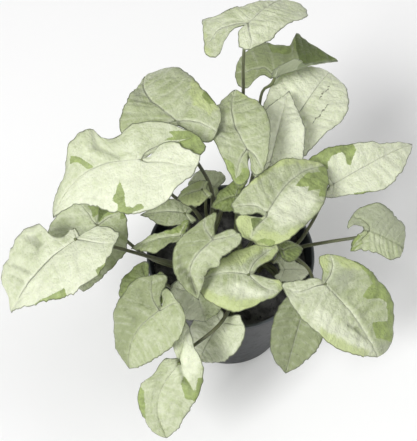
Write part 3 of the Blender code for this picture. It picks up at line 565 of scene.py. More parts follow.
class Finish(Graph):
    """A material's tree, with its Principled shader."""

    def __init__(self, name, **constants):
        self.material = bpy.data.materials.new(name)
        self.material.use_nodes = True
        super().__init__(self.material.node_tree)
        self.shader = self.tree.nodes["Principled BSDF"]
        for name, value in constants.items():
            self.shader.inputs[name.replace("_", " ")].default_value = value

    def attribute(self, name, output=2):
        return self.node("ShaderNodeAttribute", {"attribute_name": name}, output=output)

    def place(self):
        return self.node("ShaderNodeTexCoord", output=3)

    def noise(self, where, scale, detail=3.0, roughness=0.5):
        return self.node("ShaderNodeTexNoise", {},
                         {"Vector": where, "Scale": scale, "Detail": detail, "Roughness": roughness})

    def part(self, vector, axis):
        """One number of a vector: 0, 1 or 2."""
        return self.node("ShaderNodeSeparateXYZ", {}, {0: vector}, output=axis)

    def mix(self, share, first, second):
        """A colour between two colours, each an output or (red, green, blue)."""
        first, second = (c if isinstance(c, Wire) else (*c, 1.0) for c in (first, second))
        return self.node("ShaderNodeMix", {"data_type": "RGBA"}, {0: share, 6: first, 7: second},
                         output=2)

    def scaled(self, colour, strength):
        """A colour made lighter or darker by a number."""
        return self.node("ShaderNodeVectorMath", {"operation": "SCALE"}, {0: colour, 3: strength})

    def relief(self, height, distance):
        """A surface normal bent by a height, in metres of distance."""
        return self.node("ShaderNodeBump", {}, {"Height": height, "Distance": distance})

    def use(self, **sockets):
        for name, value in sockets.items():
            self.feed(self.shader.inputs[name.replace("_", " ")], value)
        return self.material


def shades(colour, *strengths):
    """A colour made darker or lighter by each number."""
    return [tuple(strength * c for c in colour) for strength in strengths]


PATCH_COLOURS = ("green", "deep", "lime", "grey", "pale")
MOST_SCARS = 2
VEIN_GREEN = (0.33, 0.38, 0.22)
RIB_GREEN = (0.2, 0.235, 0.12)
SCAR_BROWN = (0.055, 0.05, 0.025)
UNDERSIDE_GREEN = (0.46, 0.52, 0.37)


def leaf_finish(settings):
    """Waxy leaf: cloudy cream and sage, patches that end at the veins, and a thin dark edge."""
    finish = Finish("variegated leaf", Subsurface_Weight=0.05, Subsurface_Scale=0.002,
                    Subsurface_Radius=(0.8, 1.0, 0.4), Coat_Weight=0.05, Coat_Roughness=0.4)
    flat = finish.attribute("flat", 1)
    streak_place = finish.attribute("streak", 1)
    under = finish.attribute("under")
    broad = finish.noise(flat, 0.05, 2.0)
    blotch = finish.noise(flat, 0.17, 4.0, 0.6)
    blotchy = blotch - 0.5
    jagged = finish.noise(flat, 0.5, 3.0, 0.7)
    jags = jagged - 0.5
    speck = finish.noise(flat, 1.6, 3.0, 0.6)
    streak = finish.noise(streak_place, 1.1, 4.0, 0.65)
    fine_streak = finish.noise(streak_place, 3.4, 3.0, 0.6)
    ripple = finish.noise(flat, 0.3, 3.0, 0.5)
    net = finish.node("ShaderNodeTexVoronoi", {"feature": "DISTANCE_TO_EDGE"},
                      {"Vector": flat, "Scale": 0.5})
    net_line = 1 - net.step(0.0, 0.14)
    vein = finish.attribute("vein")
    side_vein = 1 - vein.step(0.05, 0.5)
    beside_vein = 1 - vein.step(0.3, 2.2)
    rib = finish.attribute("rib")
    midrib = 1 - rib.step(0.15, 0.5)
    beside_rib = 1 - rib.step(0.5, 2.6)
    edge = 1 - finish.attribute("edge").step(0.3, 1.1)
    near_tip = finish.attribute("along").step(0.25, 0.8)
    ribbed = finish.attribute("dark_rib")

    cream, sage, green, deep, grey, lime, margin = (
        tuple(getattr(settings, name))
        for name in ("cream", "sage", "green", "deep", "grey", "lime", "margin"))
    pale = tuple(0.5 * (a + b) for a, b in zip(cream, (1.0, 1.0, 0.9)))
    two_greens = finish.mix(blotch.step(0.3, 0.7), *shades(green, 1.0, 1.45))
    cloud = (broad - 0.5) * 0.6 + blotchy * 0.5 + (streak - 0.5) * 1.3 + (fine_streak - 0.5) * 0.5
    colour = finish.mix((finish.attribute("tone") + cloud).step(-0.15, 1.15), cream, sage)
    colour = finish.mix(beside_vein * streak.step(0.35, 0.75) * 0.3, colour, pale)

    # Each patch: its colour and strength, how uneven its edge is, and how soft
    masks = {}
    for patch, inside, strength, unevenness, low, high in (
            # Painted highlight: the pale patches are partly cream colour and partly the brightest lit
            # parts of the blades
            ("pale", cream, 0.8, blotchy * 10, -4.0, 3.0),
            # Painted shade: the grey patches are partly grey-green colour and partly the shaded hollows
            # of the blades
            ("grey", grey, 0.7, blotchy * 8, -3.5, 4.0),
            ("lime", lime, 0.75, blotchy * 7, -2.0, 2.0),
            ("green", two_greens, 0.95, jags * 2.4, -0.2, 0.25),
            ("deep", deep, 0.92, jags * 2.0, -0.3, 0.3)):
        masks[patch] = (finish.attribute(patch) + unevenness).step(low, high)
        colour = finish.mix(masks[patch] * strength, colour, inside)

    # The veins and the scars
    patched = masks["green"].most(masks["deep"])
    colour = finish.mix(beside_rib * 0.28 * (1 - patched * 0.6), colour, pale)
    colour = finish.mix(side_vein * 0.03 + net_line * 0.05, colour, VEIN_GREEN)
    colour = finish.mix(midrib * (1 - ribbed) * 0.6, colour, pale)
    colour = finish.mix(midrib * ribbed * (0.72 - 0.45 * near_tip), colour, RIB_GREEN)
    for number in range(MOST_SCARS):
        place = finish.attribute(f"scar_{number}", 1)
        across = finish.part(place, 0)
        off = across.sum("ABSOLUTE", across + blotchy * 7)
        inside = 1 - finish.part(place, 1).step(-0.5, 0.5)
        scar = (1 - off.step(0.3, 0.7)) * inside * jagged.step(0.4, 0.5)
        colour = finish.mix(scar * 0.9, colour, SCAR_BROWN)

    # The margin, the underside, the darker tone beyond sage, which also paints the shade of leaves
    # lying under others, and painted shade in the creases' furrows with painted light on their ridges
    colour = finish.mix(edge * 0.85, colour, margin)
    colour = finish.mix(under * 0.5, colour, UNDERSIDE_GREEN)
    # Painted shade: tone beyond 1 darkens a half, both for darker green leaves and for the shade of
    # leaves lying under others
    dark = finish.attribute("tone").step(1.0, 2.0)
    fold = finish.attribute("fold")
    # Painted shade: the colour is darkened along the creases' furrows; painted light: it is lightened
    # along their ridges
    furrow_shade = (0 - fold).step(0.3, 2.2)
    ridge = fold.step(0.3, 2.5)
    shade = 0.985 + (speck - 0.5) * 0.12 + blotchy * 0.24 + (streak - 0.5) * 0.3 - dark * 0.4
    shade = shade + ridge * 0.1 - furrow_shade * 0.3
    colour = finish.scaled(colour, shade)
    height = streak * 1.4 + fine_streak * 0.3 + ripple * 1.2 + blotch * 1.0 + speck * 0.12
    height = height - net_line * 0.1 - side_vein * 0.14
    normal = finish.relief(height * (1 - 1.6 * under), 0.001)
    return finish.use(Base_Color=colour, Roughness=0.39 + (speck - 0.5) * 0.12 + under * 0.14,
                      Normal=normal)


STALK_END_GREEN = (0.22, 0.27, 0.11)
STALK_FOOT_GREEN = (0.16, 0.20, 0.085)
STALK_STREAK_GREEN = (0.20, 0.23, 0.10)
STALK_FLECK_GREEN = (0.36, 0.38, 0.22)


def stalk_finish(settings):
    """Olive stalk, greener towards its foot and its blade end, with fine lengthwise ribs and small pale
    flecks.
    """
    finish = Finish("olive stalk", Subsurface_Weight=0.05, Subsurface_Scale=0.002,
                    Coat_Weight=0.12, Coat_Roughness=0.3)
    along = finish.attribute("along")
    round_share = finish.attribute("round")
    place = finish.place()
    cloud = finish.noise(place, 60.0, 4.0)
    fleck = finish.noise(place, 900.0, 2.0, 0.7)
    streak = finish.noise(finish.node("ShaderNodeCombineXYZ", {}, {0: round_share * 26, 1: along * 3}),
                          1.0, 3.0)
    colour = finish.mix(cloud.step(0.3, 0.7), *shades(settings.olive, 1.0, 1.9))
    colour = finish.mix(along.step(0.75, 1.0) * 0.5, colour, STALK_END_GREEN)
    colour = finish.mix((1 - along.step(0.0, 0.3)) * 0.55, colour, STALK_FOOT_GREEN)
    colour = finish.mix((streak - 0.5).step(0.0, 0.3) * 0.35, colour, STALK_STREAK_GREEN)
    colour = finish.mix(fleck.step(0.62, 0.72) * 0.3, colour, STALK_FLECK_GREEN)
    normal = finish.relief(streak * 0.6 + fleck * 0.25, 0.0003)
    return finish.use(Base_Color=colour, Roughness=0.38 + cloud * 0.2, Normal=normal)


# The pot's dust, and a painted highlight that makes its rim paler over its top few millimetres
DUST_GREY = (0.30, 0.29, 0.26)
RIM_HIGHLIGHT_GREY = (0.20, 0.22, 0.24)
RIM_HIGHLIGHT_FROM = 0.004
RIM_HIGHLIGHT_TO = 0.0005


def pot_finish(settings):
    """Dark slate plastic with faint moulding rings, scuffs, a little dust, and a painted highlight
    along its rim.
    """
    finish = Finish("slate plastic", Specular_IOR_Level=0.3)
    place = finish.place()
    cloud = finish.noise(place, 22.0, 4.0)
    grain = finish.noise(place, 1400.0, 2.0)
    streak = finish.noise(finish.node("ShaderNodeMapping", {}, {0: place, 3: (30.0, 30.0, 700.0)}),
                          1.0, 3.0)
    height = finish.part(place, 2)
    dust = (finish.noise(place, 160.0, 5.0, 0.7) + cloud * 0.3).step(0.62, 0.9)
    colour = finish.mix(cloud.step(0.3, 0.7), *shades(settings.slate, 0.85, 1.2))
    colour = finish.mix(dust * 0.16, colour, DUST_GREY)
    # Painted highlight: the top few millimetres of the rim are made paler
    rim = height.step(POT_HIGH[2] - RIM_HIGHLIGHT_FROM, POT_HIGH[2] - RIM_HIGHLIGHT_TO)
    colour = finish.mix(rim * 0.3, colour, RIM_HIGHLIGHT_GREY)
    normal = finish.relief(streak * 0.35 + grain * 0.4, 0.00015)
    return finish.use(Base_Color=colour, Roughness=0.36 + cloud * 0.12 + dust * 0.2, Normal=normal)


FIBRE_BROWN = (0.085, 0.075, 0.062)


def soil_finish(settings):
    """Damp potting soil: dark brown crumbs with a few lighter fibres."""
    finish = Finish("potting soil", Specular_IOR_Level=0.25)
    place = finish.place()
    cloud = finish.noise(place, 90.0, 4.0)
    grain = finish.noise(place, 900.0, 4.0, 0.7)
    colour = finish.mix(cloud.step(0.35, 0.65), *shades(settings.brown, 0.6, 1.8))
    colour = finish.mix(grain.step(0.6, 0.75) * 0.5, colour, FIBRE_BROWN)
    return finish.use(Base_Color=colour, Roughness=0.85 + grain * 0.12,
                      Normal=finish.relief(grain, 0.0006))


def unit(vector):
    """A vector's direction, with length 1."""
    return vector / np.linalg.norm(vector)


# Straight pieces between two given points, before the curve is sampled evenly
CURVE_PIECES = 12


def smooth_curve(points, count):
    """Points evenly spaced along a Catmull-Rom curve through the given ones, and their lengths."""
    given = [np.array(point, float) for point in points]
    given = [2 * given[0] - given[1]] + given + [2 * given[-1] - given[-2]]
    dense = []
    for a, b, c, d in zip(given, given[1:], given[2:], given[3:]):
        for f in np.linspace(0, 1, CURVE_PIECES, endpoint=False):
            dense.append(0.5 * (2 * b + (c - a) * f + (2 * a - 5 * b + 4 * c - d) * f**2
                                + (3 * b - 3 * c + d - a) * f**3))
    dense.append(given[-2])
    dense = np.array(dense)
    steps = np.linalg.norm(np.diff(dense, axis=0), axis=1)
    along = np.concatenate([[0.0], np.cumsum(steps)])
    lengths = np.linspace(0.0, along[-1], count + 1)
    axes = [np.interp(lengths, along, dense[:, k]) for k in range(dense.shape[1])]
    return np.stack(axes, 1), lengths


# How far the notch's end lies behind the base, how long a lobe is that sinks by its leaf's
# drop, where along the blade its tip starts to curl with the square of the share beyond that,
# and how finely the margin is sampled
SINUS_DEPTH = 4.0
DROP_LENGTH = 40
CURLED_FROM = 0.6
CURLED_SQUARE = 0.16
MARGIN_SAMPLES = 240


class Blade:
    """A blade's frame on its chord from base to tip, and its surface's height over that plane."""

    def __init__(self, shape):
        self.shape = shape
        self.base = np.array(shape["base"], float)
        chord = np.array(shape["tip"], float) - self.base
        self.length = np.linalg.norm(chord)
        self.along = chord / self.length
        up = np.array([0.0, 0.0, 1.0])
        normal = unit(up - up.dot(self.along) * self.along)
        across = np.cross(self.along, normal)
        roll = math.radians(shape["roll"])
        self.normal = normal * math.cos(roll) + across * math.sin(roll)
        self.across = across * math.cos(roll) - normal * math.sin(roll)

    def midrib(self, y):
        """How far to the right of the chord the midrib bends."""
        return self.shape["bend"] * np.sin(math.pi * np.clip(y / self.length, 0, 1))

    def height(self, x, y):
        """Heights over the chord plane, x across to the right and y along the chord."""
        shape = self.shape
        off = x - self.midrib(y)
        side = (off > 0).astype(int)
        out = np.abs(off)
        share = y / self.length
        height = 4 * shape["bow"] * share
        curled = np.maximum(0.0, share - CURLED_FROM) ** 2 / CURLED_SQUARE
        upper = 4 * shape["bow"] * share**2 + shape["curl"] * curled
        height -= np.where(y > 0, upper, shape["drop"] * (y / DROP_LENGTH) ** 2)
        return height + np.array(shape["rise"])[side] * out - np.array(shape["sag"])[side] * out**2

    def margin(self, side):
        """The margin of one half, from the notch to the tip, with the length along it."""
        points = self.shape["right"] if side > 0 else self.shape["left"]
        return smooth_curve([(0, -SINUS_DEPTH), *points, (0, self.length)], MARGIN_SAMPLES)

    def under_base(self):
        """Where the stalk ends at the blade, and the direction square to the blade there."""
        square = unit(self.normal - self.along * 4 * self.shape["bow"] / self.length)
        return self.base, square

    def world(self, x, y, z):
        """Points of the blade's own frame in the plant's frame."""
        return (self.base + np.multiply.outer(x, self.across) + np.multiply.outer(y, self.along)
                + np.multiply.outer(z, self.normal))


# The grid: veins on each half and in each lobe, (rays to a vein, rings) on a long and on a
# short blade, and how much closer together the rings lie at the midrib
SIDE_VEINS = 8
LOBE_VEINS = 6
LONG_BLADE = 60.0
LONG_GRID = (5, 18)
SHORT_GRID = (4, 12)
RING_SPREAD = 1.25

# The veins: how steep the first ray is that starts at the midrib, from which sample of the
# margin it is looked for, how far out in its lobe the main vein reaches and in how many
# straight pieces, how much further off it seems at its end, and how unevenly and in what
# rhythm the side veins are spaced
VEIN_SLANT = 0.35
PAST_NOTCH = 20
LOBE_REACH = 0.75
VEIN_PIECES = 12
VEIN_FADING = 0.9
SKEW = 0.02
SKEW_RHYTHM = 9

# Smooth noise in layers of (size, strength), along the margin and over the whole blade, and
# how far apart in the noise the two margins and the seeds lie
MARGIN_WOBBLE = ((3.0, 1.0), (1.4, 0.6), (9.0, 0.9))
BUMPS = ((19.0, 1.0), (7.0, 0.45))
SIDES_APART = 50.0
SEEDS_APART = 7.3

# The blade's surface: the strength and rhythm of the ruffle's second wave, how quickly the
# ruffle, the ragged margin and the uneven spacing set in from the notch and the tip, how far
# apart rays lie where swellings are full, and the size and place of the noise that varies them
SECOND_WAVE = (0.3, 2.7)
RUFFLE_ONSET = 5
RAGGED_ONSET = 8
SKEW_ONSET = 6
FULL_SPACING = 1.2
FULLNESS_SIZE = 14.0
FULLNESS_SHIFT = 50

# The share of a lobe's margin that lift raises, the widths of the midrib's groove above and
# ridge below, the ridge's height at the base, least and most, how thin the last two rings are,
# how wide the halves' tones blend, and how far a midrib that isn't clear seems to lie from
# every point
LIFTED_SHARE = 0.6
GROOVE_WIDTH = 0.9
RIDGE_WIDTH = 0.8
RIDGE_TAPER = (1.15, 0.1, 1.0)
MARGIN_THINNING = (0.8, 0.3)
TONE_BLEND = 6.0
HIDDEN_RIB = 3.0

# A patch's outline has this many points between two of its corners, and depths inside and
# outside it are cut off at FAR
EDGE_STEPS = 8
FAR = 9.0

# How far apart in the finish's noise the leaves lie, on the flat blade and along its streaks,
# and how far apart the two halves' streaks lie
LEAVES_APART = 40.0
STREAKS_APART = 7.0
HALVES_APART = 31.0
STREAK_LENGTH = 3


def steady_noise(place, scale, seed):
    """Smooth noise from about -1 to 1 over flat places in millimetres, the same each run."""
    flat = np.stack([np.ravel(place[0]), np.ravel(place[1])], 1) / scale
    values = [noise.noise((x, y, SEEDS_APART * seed)) for x, y in flat]
    return np.array(values).reshape(np.shape(place[0]))


def layered_noise(place, layers, seed):
    """Noise of several sizes added up, from layers of (size, strength)."""
    return sum(strength * steady_noise(place, scale, seed) for scale, strength in layers)


def beside_line(x, y, start, end):
    """How far along a line each place lies, from 0 to 1, and how far off it."""
    part = end - start
    along = ((x - start[0]) * part[0] + (y - start[1]) * part[1]) / (part @ part)
    along = np.clip(along, 0, 1)
    return along, np.hypot(x - start[0] - along * part[0], y - start[1] - along * part[1])


class BladeGrid:
    """The fine grid of a blade: rays along its veins, from the midrib out to the margin.

    Rays are numbered from the notch at 0 to the tip, below 0 on the left half. Each lobe has
    a main vein. Its rays leave that vein on the notch's side, and on the way back to the base
    on the other side. The rays beyond start along the midrib.
    """

    def __init__(self, blade, number):
        self.blade = blade
        self.number = number
        self.steps, rings = LONG_GRID if blade.length > LONG_BLADE else SHORT_GRID
        self.fan = LOBE_VEINS * self.steps
        self.last = self.fan + SIDE_VEINS * self.steps
        self.rays = np.arange(-self.last, self.last + 1)
        self.side = np.where(self.rays > 0, 1, -1)
        self.out = (np.arange(rings + 1) / rings) ** RING_SPREAD
        self.margins = {side: blade.margin(side) for side in (-1, 1)}
        self.splits = {side: self.first_side_vein(side) for side in (-1, 1)}
        self.share = np.array([self.share_of_ray(ray) for ray in self.rays])
        flat = np.array([self.place(side, share, self.out)
                         for side, share in zip(self.side, self.share)])
        self.x, self.y = flat[:, 0], flat[:, 1]
        lengths = np.array([self.margins[side][1][-1] for side in self.side])
        self.arc = self.share * lengths
        self.roughen_margin()

    def first_side_vein(self, side):
        """How far along the margin the veins stop starting at the base."""
        margin = self.margins[side][0]
        steep = margin[PAST_NOTCH:, 1] > VEIN_SLANT * margin[PAST_NOTCH:, 0]
        return (PAST_NOTCH + np.argmax(steep)) / MARGIN_SAMPLES

    def edge(self, side, share):
        """The flat place (x, y) on the margin."""
        samples = np.arange(MARGIN_SAMPLES + 1)
        margin = self.margins[side][0]
        return np.array([side * np.interp(share * MARGIN_SAMPLES, samples, margin[:, 0]),
                         np.interp(share * MARGIN_SAMPLES, samples, margin[:, 1])])

    def lobe_vein(self, side, run):
        """The flat place on a lobe's main vein, run 0 at the base and 1 at its end."""
        inner = self.edge(side, self.splits[side] * LOBE_REACH * run / 2)
        outer = self.edge(side, self.splits[side] * (1 - LOBE_REACH * run / 2))
        rise = np.array([0.0, SINUS_DEPTH * (1 - run) ** 3])
        return inner + (outer - inner) * 0.5 * math.sin(math.pi / 2 * run) + rise

    def share_of_ray(self, ray):
        """How far along the margin a ray ends. The side veins are a little unevenly spaced."""
        side = 1 if ray > 0 else -1
        split = self.splits[side]
        if abs(ray) <= self.fan:
            return split * abs(ray) / self.fan
        beyond = (abs(ray) - self.fan) / (self.last - self.fan)
        fade = min(1.0, SKEW_ONSET * (1 - beyond), SKEW_ONSET * beyond)
        beyond += SKEW * math.sin(SKEW_RHYTHM * beyond + side + self.number) * fade
        return split + (1 - split) * beyond

    def place(self, side, share, out):
        """The flat place (x, y) at a share of the margin and of the way out to it."""
        split = self.splits[side]
        edge_x, edge_y = self.edge(side, share)
        if share < split:
            start_x, start_y = self.lobe_vein(side, 1 - abs(2 * share / split - 1))
            sweep = 0.0
        else:
            beyond = (share - split) / (1 - split)
            start_y = self.blade.length * beyond
            start_x = self.blade.midrib(start_y)
            sweep = self.blade.shape["sweep"][int(side > 0)] * abs(edge_x - start_x)
            sweep *= min(1.0, SIDE_VEINS * beyond)
        bend = sweep * out * (1 - np.minimum(out, 1))
        return start_x + (edge_x - start_x) * out, start_y + (edge_y - start_y) * out - bend

    def roughen_margin(self):
        """Move the margin in and out a little, with the rings near it."""
        ragged = self.blade.shape["ragged"]
        wobble = layered_noise((self.arc, SIDES_APART * self.side), MARGIN_WOBBLE, self.number)
        fade = np.clip(RAGGED_ONSET * np.minimum(self.share, 1 - self.share), 0, 1)
        across = np.stack([self.x[:, -1] - self.x[:, -4], self.y[:, -1] - self.y[:, -4]], 1)
        across /= np.maximum(np.linalg.norm(across, axis=1, keepdims=True), 1e-6)
        push = np.multiply.outer(ragged * wobble * fade, self.out**6)
        self.x = self.x + push * across[:, :1]
        self.y = self.y + push * across[:, 1:]

    def heights(self, settings):
        """Heights of the middle surface, with its ruffle, swellings and sunken veins."""
        wave_height, wave_length, wave_phase = self.blade.shape["wave"]
        fade = np.minimum(1.0, RUFFLE_ONSET * np.minimum(self.share, 1 - self.share))
        turn = 2 * math.pi * self.arc / wave_length + wave_phase + self.side
        strength, rhythm = SECOND_WAVE
        second = strength * np.sin(rhythm * turn + self.number)
        ruffle = wave_height * fade * (np.sin(turn) + second)
        swell = np.sin(math.pi * (np.abs(self.rays) % self.steps) / self.steps)
        belly = np.sqrt(np.clip(4 * self.out * (1 - self.out), 0, 1))
        width = np.clip(self.spacing() / FULL_SPACING, 0, 1)
        place = (self.x, self.y)
        z = self.blade.height(self.x, self.y)
        z += np.multiply.outer(ruffle + self.lobe_lift(), self.out**2)
        uneven = steady_noise(place, FULLNESS_SIZE, self.number + FULLNESS_SHIFT)
        fullness = np.clip(0.8 + 0.9 * uneven, 0, 2)
        z += settings.quilting / MM * np.multiply.outer(swell, belly) * width * fullness
        z -= settings.vein_groove / MM * np.exp(-((self.rib_distance() / GROOVE_WIDTH) ** 2))
        bumps = layered_noise(place, BUMPS, self.number)
        return z + (settings.unevenness / MM * bumps + self.creases())

    def creases(self):
        """How far the blade's creases stand up, or lie below it where less than 0."""
        z = np.zeros(self.x.shape)
        for start, end, height, width in self.blade.shape["creases"]:
            _, off = beside_line(self.x, self.y, np.array(start), np.array(end))
            z += height * np.exp(-((off / width) ** 2))
        return z

    def lobe_lift(self):
        """How far each ray's end stands up where one lobe lies over the other."""
        half = (self.side > 0).astype(int)
        splits = np.array([self.splits[-1], self.splits[1]])[half]
        return np.array(self.blade.shape["lift"])[half] * np.sin(
            math.pi * np.clip(self.share / splits / LIFTED_SHARE, 0, 1))

    def spacing(self):
        """Distance from each grid point to the same point of the next ray."""
        step = np.hypot(np.gradient(self.x, axis=0), np.gradient(self.y, axis=0))
        return np.maximum(step, 0.02)

    def vein_distance(self):
        """Distance of each grid point from the nearest side vein."""
        phase = np.abs(self.rays) % self.steps
        return np.minimum(phase, self.steps - phase)[:, None] * self.spacing()

    def rib_distance(self):
        """Distance of each grid point from the midrib or the main vein of its lobe."""
        distance = np.where(self.y > 0, np.abs(self.x - self.blade.midrib(self.y)),
                            np.hypot(self.x, self.y))
        for side in (-1, 1):
            runs = np.linspace(0, 1, VEIN_PIECES + 1)
            vein = np.array([self.lobe_vein(side, run) for run in runs])
            away = np.full(self.x.shape, np.inf)
            for number, (start, end) in enumerate(zip(vein, vein[1:])):
                along, off = beside_line(self.x, self.y, start, end)
                fading = VEIN_FADING * ((number + along) / VEIN_PIECES) ** 2
                away = np.minimum(away, off + fading)
            distance = np.where(self.side[:, None] == side, np.minimum(distance, away), distance)
        return distance

    def edge_distance(self):
        """Distance of each grid point from the end of its own ray at the margin."""
        return np.hypot(self.x - self.x[:, -1:], self.y - self.y[:, -1:])

    def patch_depth(self, colour):
        """How far each grid point lies inside the leaf's patches of a colour, below 0 outside."""
        depth = np.full(self.x.shape, -FAR)
        for patch_colour, side_name, outline in self.blade.shape["patches"]:
            if patch_colour != colour:
                continue
            side = SIDES[side_name]
            corners = []
            for (s, t), (next_s, next_t) in zip(outline, outline[1:] + outline[:1]):
                for f in np.arange(EDGE_STEPS) / EDGE_STEPS:
                    corners.append(self.place(side, s + (next_s - s) * f, t + (next_t - t) * f))
            inside = depth_in_outline(self.x, self.y, np.array(corners))
            own_half = (self.side[:, None] == side) | (self.out == 0)
            depth = np.maximum(depth, np.where(own_half, inside, -FAR))
        return np.clip(depth, -FAR, FAR)

    def scar_place(self, number):
        """Each grid point's place beside one scar: across its line, past its ends, and 0."""
        scars = self.blade.shape["scars"]
        if number >= len(scars):
            return np.full((*self.x.shape, 3), FAR)
        start, end = (np.array(point, float) for point in scars[number])
        along = unit(end - start)
        away = np.stack([self.x - start[0], self.y - start[1]], -1)
        across = away @ np.array([-along[1], along[0]])
        run = away @ along
        past = np.maximum(-run, run - np.linalg.norm(end - start))
        return np.stack([across, past, 0 * past], -1)


def depth_in_outline(x, y, corners):
    """How far points lie inside a closed outline, below 0 where they are outside it."""
    points = np.stack([x.ravel(), y.ravel()], 1)
    nearest = np.full(len(points), 1e9)
    inside = np.zeros(len(points), bool)
    for a, b in zip(corners, np.roll(corners, -1, axis=0)):
        edge = b - a
        run = np.clip((points - a) @ edge / max(edge @ edge, 1e-9), 0, 1)
        away = points - a - run[:, None] * edge
        nearest = np.minimum(nearest, np.hypot(away[:, 0], away[:, 1]))
        if abs(edge[1]) > 1e-9:
            crosses = (a[1] > points[:, 1]) != (b[1] > points[:, 1])
            at_x = a[0] + (points[:, 1] - a[1]) * edge[0] / edge[1]
            inside ^= crosses & (points[:, 0] < at_x)
    return np.where(inside, nearest, -nearest).reshape(x.shape)


def store(mesh, layer, values, vector=False):
    """Keep a number, or a vector, for each point of a mesh."""
    attribute = mesh.attributes.new(layer, "FLOAT_VECTOR" if vector else "FLOAT", "POINT")
    attribute.data.foreach_set("vector" if vector else "value", values.astype(np.float32).ravel())


def store_layers(mesh, grid):
    """What the leaf's finish reads, the same on the upper and on the lower skin."""
    blade, shape = grid.blade, grid.blade.shape
    blend = np.clip(0.5 + (grid.x - blade.midrib(grid.y)) / TONE_BLEND, 0, 1)
    veins = np.abs(grid.rays) / grid.steps + HALVES_APART * (grid.side + 1)
    layers = {
        "vein": grid.vein_distance(),
        "rib": grid.rib_distance() + HIDDEN_RIB * (1 - shape["veined"]),
        "edge": grid.edge_distance(),
        "tone": shape["tone"][0] * (1 - blend) + shape["tone"][1] * blend,
        "along": grid.y / blade.length,
        "fold": grid.creases(),
        "dark_rib": np.full(grid.x.shape, shape["dark_rib"]),
        **{colour: grid.patch_depth(colour) for colour in PATCH_COLOURS},
        **{f"scar_{number}": grid.scar_place(number) for number in range(MOST_SCARS)},
        "flat": vectors(grid.x, grid.y, LEAVES_APART * grid.number),
        "streak": vectors(veins[:, None], STREAK_LENGTH * grid.out, STREAKS_APART * grid.number),
    }
    for layer, values in layers.items():
        store(mesh, layer, np.tile(values.ravel(), 2), vector=values.ndim > 2)
    store(mesh, "under", np.repeat([0.0, 1.0], grid.x.size))


def vectors(*parts):
    """Vectors from their parts, each an array or a number."""
    return np.stack(np.broadcast_arrays(*parts), -1)


def shared_points(grid):
    """The number of the point at each place of the grid, where places that meet share one.

    Both halves share the midrib, the rays on both sides of a lobe's main vein share it, and
    the first and the last ray shrink to the tip.
    """
    index = np.arange(grid.x.size).reshape(grid.x.shape)
    index[grid.last + grid.fan:, 0] = index[grid.last - grid.fan::-1, 0]
    for side in (-1, 1):
        for ray in range(grid.fan // 2 + 1):
            index[grid.last + side * (grid.fan - ray), 0] = index[grid.last + side * ray, 0]
    index[0, :] = index[-1, :] = index[0, 0]
    return index


def point_normals(points, quads):
    """Directions square to a surface at its points, from the faces round each."""
    first, second, third, fourth = (points[quads[:, k]] for k in range(4))
    facing = np.cross(third - first, fourth - second)
    normals = np.zeros_like(points)
    for k in range(4):
        np.add.at(normals, quads[:, k], facing)
    return normals / np.maximum(np.linalg.norm(normals, axis=1, keepdims=True), 1e-9)


def blade_mesh(name, number, shape, settings):
    """One leaf blade: two skins that meet in a thin margin, with the midrib standing out below."""
    blade = Blade(shape)
    grid = BladeGrid(blade, number)
    points = blade.world(grid.x, grid.y, grid.heights(settings)).reshape(-1, 3)
    index = shared_points(grid)
    corners = [index[:-1, :-1], index[:-1, 1:], index[1:, 1:], index[1:, :-1]]
    quads = np.stack(corners, -1).reshape(-1, 4)
    normals = point_normals(points, quads)

    thinning = np.ones(len(grid.out))
    thinning[-2:] = MARGIN_THINNING
    half = settings.thickness / MM / 2 * np.broadcast_to(thinning, grid.x.shape)
    at_base, least, most = RIDGE_TAPER
    taper = np.clip(at_base - grid.y / blade.length, least, most)
    ridge = settings.midrib_height / MM * taper * np.exp(-((grid.rib_distance() / RIDGE_WIDTH) ** 2))
    ridge = ridge * (thinning == 1)
    top = points + normals * half.reshape(-1, 1)
    bottom = points - normals * (half + ridge).reshape(-1, 1)

    count = len(points)
    rim = index[:, -1]
    walls = np.stack([rim[:-1], rim[:-1] + count, rim[1:] + count, rim[1:]], -1)
    faces = np.concatenate([quads, quads[:, ::-1] + count, walls]).tolist()
    faces = [face for face in (list(dict.fromkeys(face)) for face in faces) if len(face) > 2]
    mesh = bpy.data.meshes.new(name)
    mesh.from_pydata((np.concatenate([top, bottom]) * MM).tolist(), [], faces)
    store_layers(mesh, grid)
    drop_loose_points(mesh)
    mesh.shade_smooth()
    return mesh


def drop_loose_points(mesh):
    """Remove the points that no face uses."""
    cleaned = bmesh.new()
    cleaned.from_mesh(mesh)
    loose = [vertex for vertex in cleaned.verts if not vertex.link_faces]
    bmesh.ops.delete(cleaned, geom=loose, context="VERTS")
    cleaned.to_mesh(mesh)
    cleaned.free()


def add_object(name, data):
    """An object in the scene, for a mesh, a curve, a light or a camera."""
    made = bpy.data.objects.new(name, data)
    bpy.context.scene.collection.objects.link(made)
    return made


def add_piece(name, mesh, slot, *replaced):
    """A finished piece of the plant: at the origin, riding on the plant's body."""
    piece = add_object(name, mesh)
    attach(piece, BODY)
    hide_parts(*replaced)


def evaluated_mesh(guide, name):
    """The mesh that an object's modifiers give, on its own. The object is removed."""
    graph = bpy.context.evaluated_depsgraph_get()
    mesh = bpy.data.meshes.new_from_object(guide.evaluated_get(graph))
    mesh.name = name
    bpy.data.objects.remove(guide)
    return mesh


def geometry_tree(name, inputs):
    """A geometry tree with named inputs, given as {name: socket type}."""
    tree = bpy.data.node_groups.new(name, "GeometryNodeTree")
    tree.interface.new_socket("Geometry", in_out="INPUT", socket_type="NodeSocketGeometry")
    for label, kind in inputs.items():
        tree.interface.new_socket(label, in_out="INPUT", socket_type=kind)
    tree.interface.new_socket("Geometry", in_out="OUTPUT", socket_type="NodeSocketGeometry")
    graph = Graph(tree)
    source = tree.nodes.new("NodeGroupInput")
    given = {socket.name: Wire(graph, socket) for socket in source.outputs if socket.name}
    return graph, given


